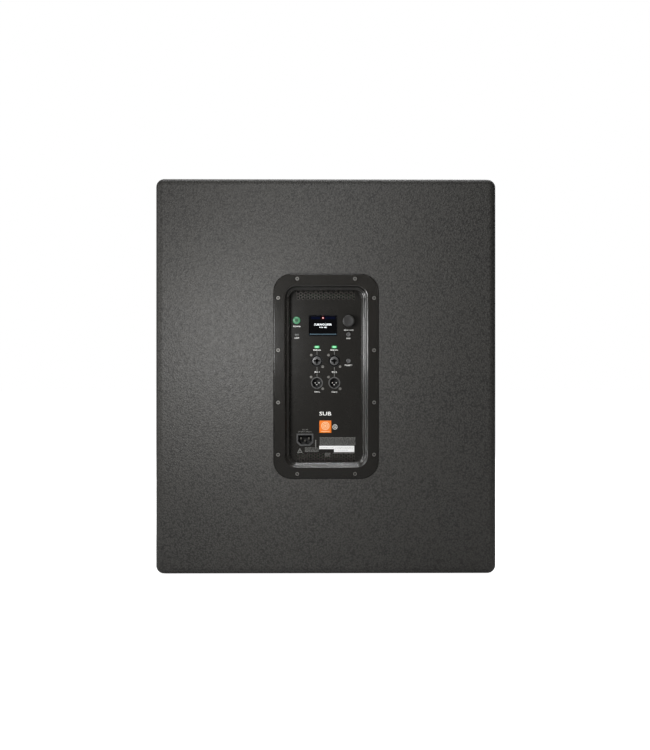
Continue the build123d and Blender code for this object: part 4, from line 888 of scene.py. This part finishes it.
class SUBWOOFER_OT_foam(bpy.types.Operator):
    """Model the foam sheet behind the grille"""

    bl_idname = "subwoofer.foam"
    bl_label = "Grille foam"

    def execute(self, context):
        low, high = (Vector(corner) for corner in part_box("grille_foam"))
        across, up, deep = high.x - low.x, high.z - low.z, high.y - low.y
        obj = primitive("grid", x_subdivisions=56, y_subdivisions=66, size=1.0)
        obj.data.transform(Matrix.Diagonal((across - 2 * MM, up - 2 * MM, 1, 1)))
        texture = bpy.data.textures.new("foam_ripple", "CLOUDS")
        texture.noise_scale = 0.09
        apply(obj, "SOLIDIFY", thickness=deep * 0.72, offset=0.0)
        apply(obj, "DISPLACE", texture=texture, strength=deep * 0.16, mid_level=0.5, direction="Z")
        place = ON_GRILLE.copy()
        place.translation.y = (low.y + high.y) / 2
        settle(obj, "grille_foam_sheet", finish("foam"), place)
        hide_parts("grille_foam")
        return {"FINISHED"}


# ---------------------------------------------------------------- woofer
def roll_outline(start, radius, count, alternate, inner, outer, level, steps=10):
    """The middle line of half-round rolls between two flat flanges, as (radius, height) points."""
    points = [(inner, level)]
    for index in range(count):
        centre = start + radius * (2 * index + 1)
        flip = -1 if alternate and index % 2 else 1
        for step in range(steps + 1):
            angle = math.pi * (1 - step / steps)
            spot = (centre + radius * math.cos(angle), level + flip * radius * math.sin(angle))
            if (Vector(spot) - Vector(points[-1])).length > 0.05 * MM:
                points.append(spot)
    points.append((outer, level))
    return points


def flexing(obj, fixed_radius, moving_radius):
    """Lets a ring flex between the cabinet at one radius and the moving cone at another."""
    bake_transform(obj, ROOT, "moving_cone", start=(0, BAFFLE_Y, 0), end=(0, BAFFLE_Y - 1, 0))
    for vertex, weight in zip(obj.data.vertices, obj.data.attributes["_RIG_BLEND"].data):
        reach = math.hypot(vertex.co.x, vertex.co.z - WOOFER_Z)
        share = min(1.0, max(0.0, (fixed_radius - reach) / (fixed_radius - moving_radius)))
        weight.value = share * share * (3 - 2 * share)


class SUBWOOFER_OT_suspension(bpy.types.Operator):
    """Model the woofer's surround and spider, which flex as the cone moves"""

    bl_idname = "subwoofer.suspension"
    bl_label = "Surround and spider"

    def execute(self, context):
        cone_edge, surround_rim, rim_level = 178.0 * MM, 202.0 * MM, 4.0 * MM
        glued, outer = 170.2 * MM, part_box("woofer_surround")[1][0] - 0.2 * MM
        outline = roll_outline(cone_edge, sizes().surround_roll, 2, False, glued, outer, rim_level)
        surround = turned(outline, 128, 1.0 * MM)
        settle(surround, "surround_rolls", finish("surround_cloth"), ON_BAFFLE, None, 60.0)
        flexing(surround, surround_rim, cone_edge)
        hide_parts("woofer_surround")
        spider_start, spider_rim, level = 46.0 * MM, 80.0 * MM, BAFFLE_Y - middle_of("woofer_spider").y
        outline = roll_outline(spider_start, sizes().spider_roll, 5, True, 38.9 * MM, 91.8 * MM, level, 8)
        spider = turned(outline, 96, 0.8 * MM)
        settle(spider, "spider_rolls", finish("spider_cloth"), ON_BAFFLE, None, 60.0)
        flexing(spider, spider_rim, spider_start - 1.0 * MM)
        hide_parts("woofer_spider")
        return {"FINISHED"}


class SUBWOOFER_OT_lining(bpy.types.Operator):
    """Model the wadding on the cabinet's walls"""

    bl_idname = "subwoofer.lining"
    bl_label = "Acoustic lining"

    def execute(self, context):
        texture = bpy.data.textures.new("wadding_lumps", "CLOUDS")
        texture.noise_scale = 0.05
        for index, (low, high) in enumerate(solid_boxes("acoustic_lining"), 1):
            size = high - low
            pad = primitive("cube", size=1.0)
            pad.data.transform(Matrix.Diagonal((*(size * 0.93), 1)))
            with editing(pad):
                bpy.ops.mesh.select_all(action="SELECT")
                bpy.ops.mesh.subdivide(number_cuts=12)
            apply(pad, "SUBSURF", levels=1, render_levels=1)
            lumps = {"texture": texture, "mid_level": 0.5, "texture_coords": "LOCAL"}
            apply(pad, "DISPLACE", strength=min(size) * 0.28, **lumps)
            place = Matrix.Translation((low + high) / 2)
            settle(pad, f"wadding_pad_{index}", finish("wadding"), place, angle=80.0)
        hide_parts("acoustic_lining")
        return {"FINISHED"}


# ---------------------------------------------------------------- sides
class SUBWOOFER_OT_grips(bpy.types.Operator):
    """Model the ribbed rubber sleeves on the handles' bars"""

    bl_idname = "subwoofer.grips"
    bl_label = "Handle sleeves"

    def execute(self, context):
        ribs, half, radius = sizes().grip_ribs, 68.0 * MM, 12.02 * MM
        rib_pitch = 2 * half / ribs
        for index, (low, high) in enumerate(solid_boxes("handle_grips"), 1):
            outline = [(radius, -half)]
            for rib in range(ribs):
                start = -half + rib * rib_pitch
                for share, rise in ((0.06, 0.5), (0.2, 1.0), (0.8, 1.0), (0.94, 0.5), (1.0, 0.1)):
                    outline.append((radius + rise * MM, start + share * rib_pitch))
            outline.append((radius, half))
            sleeve = turned(outline, 40)
            place = Matrix.Translation((low + high) / 2) @ Matrix.Rotation(math.pi / 2, 4, "X")
            settle(sleeve, f"grip_sleeve_{index}", finish("grip"), place, angle=50.0)
        return {"FINISHED"}


# ---------------------------------------------------------------- printing on the panel
def legend(text, across, up, width, height):
    """A word printed to a width and height, centred on a spot."""
    bpy.ops.object.select_all(action="DESELECT")
    bpy.ops.object.text_add()
    obj = bpy.context.object
    obj.data.body = text
    obj.data.align_x, obj.data.align_y = "CENTER", "CENTER"
    obj.data.resolution_u = 2
    obj.data.offset = 0.012
    obj.data.extrude = 0.01
    alone(obj)
    bpy.ops.object.convert(target="MESH")
    obj = bpy.context.object
    low, high = ends(obj)
    size = high - low
    relief = sizes().legend_relief
    scale = Matrix.Diagonal((width / size.x, height / size.y, relief / size.z, 1))
    place = Matrix.Translation((across, up, relief / 2))
    obj.data.transform(place @ scale @ Matrix.Translation(-(low + high) / 2))
    return obj


def stroke(across, up, width, height, lift=0.0, rise=None):
    """A printed bar, centred on a spot."""
    relief = rise or sizes().legend_relief
    obj = primitive("cube", size=1.0)
    obj.data.transform(Matrix.Diagonal((width, height, relief, 1)))
    return shift(obj, (across, up, lift + relief / 2))


def hoop(across, up, outer, inner, rise=None, vertices=40):
    """A printed ring, centred on a spot."""
    relief = rise or sizes().legend_relief
    obj = primitive("cylinder", vertices=vertices, radius=outer, depth=relief)
    with editing(obj):
        pick(obj, lambda face: abs(face.normal.z) > 0.9)
        bpy.ops.mesh.inset(thickness=outer - inner)
        bpy.ops.mesh.bridge_edge_loops()
    return shift(obj, (across, up, relief / 2))


def printed(pieces, name, finish_name, level, body=ROOT):
    """Joins printing and puts it on the panel, at a height out from the rear face."""
    place = ON_REAR @ Matrix.Translation((0, 0, level))
    return settle(join(pieces), name, finish(finish_name), place, body)


class SUBWOOFER_OT_legends(bpy.types.Operator):
    """Print the words and lines on the amplifier's panel"""

    bl_idname = "subwoofer.legends"
    bl_label = "Panel legends"

    def execute(self, context):
        words = [
            ("POWER", -51.0, 87.8, 12.7, 2.5), ("LIMIT", -51.2, 67.4, 8.2, 2.3),
            ("MENU / LEVEL", 40.5, 81.4, 17.0, 2.2), ("BACK", 39.7, 66.9, 7.6, 2.3),
            ("POLARITY", 39.7, 19.5, 13.3, 2.4),
        ]  # fmt: skip
        for number, across in enumerate(INPUT_COLUMNS, 1):
            across /= MM
            words.append(("SIGNAL", across, 46.4, 13.6, 2.4))
            words.append((f"IN {number}", across, 7.5, 8.4, 2.8))
            words.append((f"THRU {number}", across, -27.6, 9.6, 2.2))
        bold = [legend(word, *(value * MM for value in numbers)) for word, *numbers in words]
        bold.append(legend("SUB", -1.0 * MM, -65.8 * MM, 21.0 * MM, 6.6 * MM))
        bold.append(hoop(15.8 * MM, -89.2 * MM, 4.4 * MM, 3.7 * MM))
        bold.append(hoop(15.8 * MM, -89.2 * MM, 2.2 * MM, 1.5 * MM))
        printed(bold, "panel_legends", "legend", PANEL_TOP)
        faint = []
        for across in INPUT_COLUMNS:
            for top, bottom in ((44.4, 37.8), (16.4, 9.4), (5.4, -1.0)):
                faint.append(stroke(across, (top + bottom) / 2 * MM, 0.7 * MM, (top - bottom) * MM))
        faint.append(legend("AC IN", INLET_AT[0], -94.0 * MM, 10.0 * MM, 2.2 * MM))
        faint.append(legend("100-240 V~ 50/60 Hz", INLET_AT[0], -97.6 * MM, 24.0 * MM, 1.9 * MM))
        faint += self.small_print()
        printed(faint, "panel_small_print", "faint_legend", PANEL_TOP)
        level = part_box("rating_label")[1][1] - REAR_Y
        printed(self.sticker_print(), "sticker_print", "label_print", level)
        return {"FINISHED"}

    def small_print(self):
        """Blocks of dashes where small print stands, a triangle, and a box."""
        made = []
        blocks = (
            (-11.0, 52.0, -108.0, 7, 2.0), (-37.0, -13.0, -126.0, 4, 2.2), (-2.0, 8.0, -135.5, 4, 1.8),
            (12.0, 50.0, -135.6, 1, 2.0),
        )  # fmt: skip
        for block, (left, right, top, lines, step) in enumerate(blocks):
            for line in range(lines):
                spot, index = left, line + block
                while spot < right - 1.0:
                    dash = min(2.2 + (index * 7 % 5) * 1.1, right - spot)
                    made.append(stroke((spot + dash / 2) * MM, (top - line * step) * MM, dash * MM, 0.9 * MM))
                    spot += dash + 0.8
                    index += 1
        made.append(stroke(-18.0 * MM, -119.5 * MM, 1.6 * MM, 15.0 * MM))
        triangle = primitive("cylinder", vertices=3, radius=5.6 * MM, depth=sizes().legend_relief)
        with editing(triangle):
            pick(triangle, lambda face: abs(face.normal.z) > 0.9)
            bpy.ops.mesh.inset(thickness=1.1 * MM)
            bpy.ops.mesh.bridge_edge_loops()
        made.append(shift(triangle, (-45.9 * MM, -132.0 * MM, sizes().legend_relief / 2)))
        made.append(stroke(-45.9 * MM, -131.6 * MM, 0.9 * MM, 3.0 * MM))
        made.append(stroke(32.0 * MM, -135.0 * MM, 36.0 * MM, 1.6 * MM))
        return made

    def sticker_print(self):
        """Rows of pale dashes on the two blank stickers."""
        made = []
        rows = ((-10.5, 12.8, -125.3), (16.0, 48.6, -125.0), (16.0, 48.6, -127.6), (16.0, 40.0, -130.2))
        for left, right, up in rows:
            spot, index = left, round(right + up)
            while spot < right - 1.0:
                dash = min(1.4 + (index * 5 % 4) * 0.9, right - spot)
                made.append(stroke((spot + dash / 2) * MM, up * MM, dash * MM, 1.0 * MM, 0.0, 0.03 * MM))
                spot += dash + 0.9
                index += 1
        return made


class SUBWOOFER_OT_vents(bpy.types.Operator):
    """Model thin raised rims round the panel's vent cells, pale grey as painted highlight on the cell edges
    """

    bl_idname = "subwoofer.vents"
    bl_label = "Vent edges"

    def execute(self, context):
        cell, pitch, columns = 2.1 * MM, 5.14 * MM, 12
        across = pitch * math.sqrt(3)
        spots = []
        for start, rows in ((137.6 * MM, 6), (-147.9 * MM, 5)):
            for row in range(rows):
                count = columns - row % 2
                for column in range(count):
                    spots.append(((column - (count - 1) / 2) * across, start + row * pitch / 2))
        # The rims' pale grey is painted highlight where light would catch the edges of the cells.
        rim = hoop(0, 0, cell + 0.42 * MM, cell + 0.02 * MM, 0.22 * MM, 6)
        rim.data.transform(Matrix.Rotation(math.pi / 6, 4, "Z"))
        printed(copies(rim, spots), "vent_cell_edges", "cell_edge", PANEL_TOP)
        return {"FINISHED"}


class SUBWOOFER_OT_badge(bpy.types.Operator):
    """Model the badge's symbol, a driver seen from the front"""

    bl_idname = "subwoofer.badge"
    bl_label = "Badge symbol"

    def execute(self, context):
        across, up = BADGE_AT
        rise = 0.12 * MM
        middle = up + 1.4 * MM
        radii = ((7.2 * MM, 5.9 * MM), (4.6 * MM, 3.4 * MM))
        rings = [hoop(across, middle, outer, inner, rise) for outer, inner in radii]
        rings.append(shift(disc(1.9 * MM, 0.0, rise, vertices=32), (across, middle, 0)))
        rings.append(stroke(across, up - 8.4 * MM, 15.0 * MM, 1.1 * MM, 0.0, rise))
        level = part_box("panel_badge")[1][1] - REAR_Y
        printed(rings, "badge_symbol", "badge_symbol", level)
        return {"FINISHED"}


# ---------------------------------------------------------------- display and lights
class SUBWOOFER_OT_display(bpy.types.Operator):
    """Model the display's picture under its lens, with a glowing strip at its foot as painted reflection"""

    bl_idname = "subwoofer.display"
    bl_label = "Display picture"

    def execute(self, context):
        low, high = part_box("display_lens")
        level = high[1] - REAR_Y + 0.02 * MM
        across, up = DISPLAY_AT
        width, height = high[0] - low[0] - 1.0 * MM, high[2] - low[2] - 1.0 * MM
        thick, header_height = 0.08 * MM, 4.4 * MM
        backing = stroke(across, up, width, height, 0.0, thick)
        with editing(backing, "EDGE"):
            pick(backing, rim_at(thick), "edges")
            bpy.ops.mesh.bevel(offset=0.03 * MM, segments=1)
        printed([backing], "screen_backing", "screen", level)
        level += thick
        header = up + height / 2 - 2.6 * MM
        words = [
            legend("SUBWOOFER", across, up + 1.8 * MM, 31.0 * MM, 3.6 * MM),
            legend("0.0 dB", across, up - 3.0 * MM, 13.0 * MM, 2.2 * MM),
            shift(disc(0.75 * MM, 0.0, sizes().legend_relief, vertices=20), (across, header, 0)),
        ]
        printed(words, "screen_words", "screen_text", level)
        bars = [stroke(across + 12 * MM, header, width * 0.42, header_height)]
        bars.append(stroke(across - 13 * MM, header, width * 0.34, header_height))
        printed(bars, "screen_header", "screen_bar", level)
        mark = hoop(across, header, 1.9 * MM, 0.8 * MM, vertices=20)
        printed([mark], "screen_mark", "screen_mark", level)
        # A pale blue glowing bar along the screen's foot and two blocks at its lower corners: painted
        # reflection on the lower wall of the display's window.
        foot = up - height / 2 + 1.0 * MM
        edges = [stroke(across, foot, width, 0.9 * MM)]
        for side in (-1, 1):
            edges.append(stroke(across + side * (width / 2 - 1.2 * MM), foot, 1.6 * MM, 1.5 * MM))
        printed(edges, "screen_edge_light", "screen_edge", level)
        return {"FINISHED"}


class SUBWOOFER_OT_lights(bpy.types.Operator):
    """Model the domed lenses of the signal and limit lights"""

    bl_idname = "subwoofer.lights"
    bl_label = "Indicator lenses"

    def execute(self, context):
        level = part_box("indicator_leds")[1][1] - REAR_Y
        lit = copies(self.lens(10.2 * MM, 5.4 * MM), [(across, SIGNAL_UP) for across in INPUT_COLUMNS])
        printed(lit, "signal_lenses", "signal_lit", level)
        unlit = copies(self.lens(7.2 * MM, 2.8 * MM), [LIMIT_AT])
        printed(unlit, "limit_lens", "signal_off", level)
        return {"FINISHED"}

    def lens(self, long, short, rise=0.55 * MM):
        """A long round-ended dome."""
        obj = primitive("cylinder", vertices=32, radius=short / 2, depth=rise)
        shift(obj, (0, 0, rise / 2))
        with editing(obj, "VERT"):
            for side in (-1, 1):
                pick(obj, lambda vertex: vertex.co.x * side > 1e-7, "verts")
                bpy.ops.transform.translate(value=(side * (long - short) / 2, 0, 0))
        with editing(obj, "EDGE"):
            pick(obj, rim_at(rise), "edges")
            bpy.ops.mesh.bevel(offset=0.42 * MM, segments=4)
        return obj


# ---------------------------------------------------------------- sockets and buttons
class SUBWOOFER_OT_sockets(bpy.types.Operator):
    """Model the combined sockets' inserts, the output pins and the inlet's blades"""

    bl_idname = "subwoofer.sockets"
    bl_label = "Socket details"

    def execute(self, context):
        inserts = copies(self.insert(), [(across, COMBO_UP) for across in INPUT_COLUMNS])
        printed(inserts, "combo_inserts", "insert", PANEL_TOP - 0.6 * MM)
        half = 3.5 * MM
        pins = [(-half, 0.0), (half, 0.0), (0.0, -half)]
        spots = [(column + across, THRU_UP + up) for column in INPUT_COLUMNS for across, up in pins]
        pin = disc(1.22 * MM, -15.9 * MM, -2.45 * MM, 0.95 * MM, 24)
        printed(copies(pin, spots), "thru_pins", "pins", PANEL_TOP)
        across, up = INLET_AT
        blades = [(across - 7 * MM, up + 2 * MM), (across + 7 * MM, up + 2 * MM), (across, up - 2 * MM)]
        printed(copies(self.blade(), blades), "inlet_blades", "blades", PANEL_TOP)
        for name, spot, body in (("back", BACK_AT, "back_key"), ("polarity", POLARITY_AT, "polarity_key")):
            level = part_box(f"{name}_button")[1][1] - REAR_Y - 0.05 * MM
            # A light grey ring round the edge of each small key's face: painted highlight on the key's rim.
            ring = hoop(*spot, 3.35 * MM, 2.55 * MM, 0.17 * MM, 48)
            printed([ring], f"{name}_button_ring", "key_rim", level, body)
        return {"FINISHED"}

    def insert(self):
        """A satin face plate with a jack's hole and three pin holes."""
        plate = disc(7.7 * MM, 0.0, 0.5 * MM, 0.2 * MM, 64)
        holes = ((0.0, 0.0, 3.37), (-4.3, 0.2, 1.52), (4.3, 0.2, 1.52), (0.0, -4.3, 1.52))
        for across, up, radius in holes:
            cutter = disc(radius * MM, -1 * MM, 2 * MM, vertices=32)
            cut(plate, shift(cutter, (across * MM, up * MM, 0)))
        return plate

    def blade(self):
        """A flat blade with a chamfered tip."""
        root, top = -16.9 * MM, -4.95 * MM
        obj = stroke(0, 0, 2.05 * MM, 4.05 * MM, root, top - root)
        with editing(obj, "EDGE"):
            pick(obj, rim_at(top), "edges")
            bpy.ops.mesh.bevel(offset=0.5 * MM, segments=2)
        return obj


class SUBWOOFER_OT_power_symbol(bpy.types.Operator):
    """Print the usual symbol of a broken ring and a bar on the power button"""

    bl_idname = "subwoofer.power_symbol"
    bl_label = "Power symbol"

    def execute(self, context):
        rise = 0.1 * MM
        ring = hoop(*POWER_AT, 2.4 * MM, 1.9 * MM, rise, 48)
        across, up = POWER_AT
        cut(ring, stroke(across, up + 2.4 * MM, 1.5 * MM, 2 * MM, -1 * MM, 2 * MM))
        bar = stroke(across, up + 1.7 * MM, 0.45 * MM, 2.2 * MM, 0.0, rise)
        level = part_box("power_button")[1][1] - REAR_Y - 0.02 * MM
        printed([ring, bar], "power_symbol", "symbol_ink", level, "power_key")
        return {"FINISHED"}


# ---------------------------------------------------------------- panel, registration and run
OPERATORS = (
    SUBWOOFER_OT_stage,
    SUBWOOFER_OT_finishes,
    SUBWOOFER_OT_grille,
    SUBWOOFER_OT_foam,
    SUBWOOFER_OT_suspension,
    SUBWOOFER_OT_lining,
    SUBWOOFER_OT_grips,
    SUBWOOFER_OT_legends,
    SUBWOOFER_OT_vents,
    SUBWOOFER_OT_badge,
    SUBWOOFER_OT_display,
    SUBWOOFER_OT_lights,
    SUBWOOFER_OT_sockets,
    SUBWOOFER_OT_power_symbol,
)


class VIEW3D_PT_subwoofer(bpy.types.Panel):
    """The subwoofer's sizes, colours and pieces"""

    bl_label = "Powered subwoofer"
    bl_space_type = "VIEW_3D"
    bl_region_type = "UI"
    bl_category = "Subwoofer"

    def draw(self, context):
        for group in (context.scene.subwoofer_sizes, context.scene.subwoofer_colours):
            column = self.layout.column(align=True)
            for name in group.__annotations__:
                column.prop(group, name)
        for operator in OPERATORS:
            self.layout.operator(operator.bl_idname)


CLASSES = (SubwooferSizes, SubwooferColours, *OPERATORS, VIEW3D_PT_subwoofer)


def register():
    for item in CLASSES:
        bpy.utils.register_class(item)
    bpy.types.Scene.subwoofer_sizes = PointerProperty(type=SubwooferSizes)
    bpy.types.Scene.subwoofer_colours = PointerProperty(type=SubwooferColours)


def unregister():
    del bpy.types.Scene.subwoofer_colours
    del bpy.types.Scene.subwoofer_sizes
    for item in reversed(CLASSES):
        bpy.utils.unregister_class(item)


def main():
    register()
    for operator in OPERATORS:
        group, name = operator.bl_idname.split(".")
        getattr(getattr(bpy.ops, group), name)()
    bpy.ops.object.select_all(action="DESELECT")


if __name__ == "__main__":
    main()
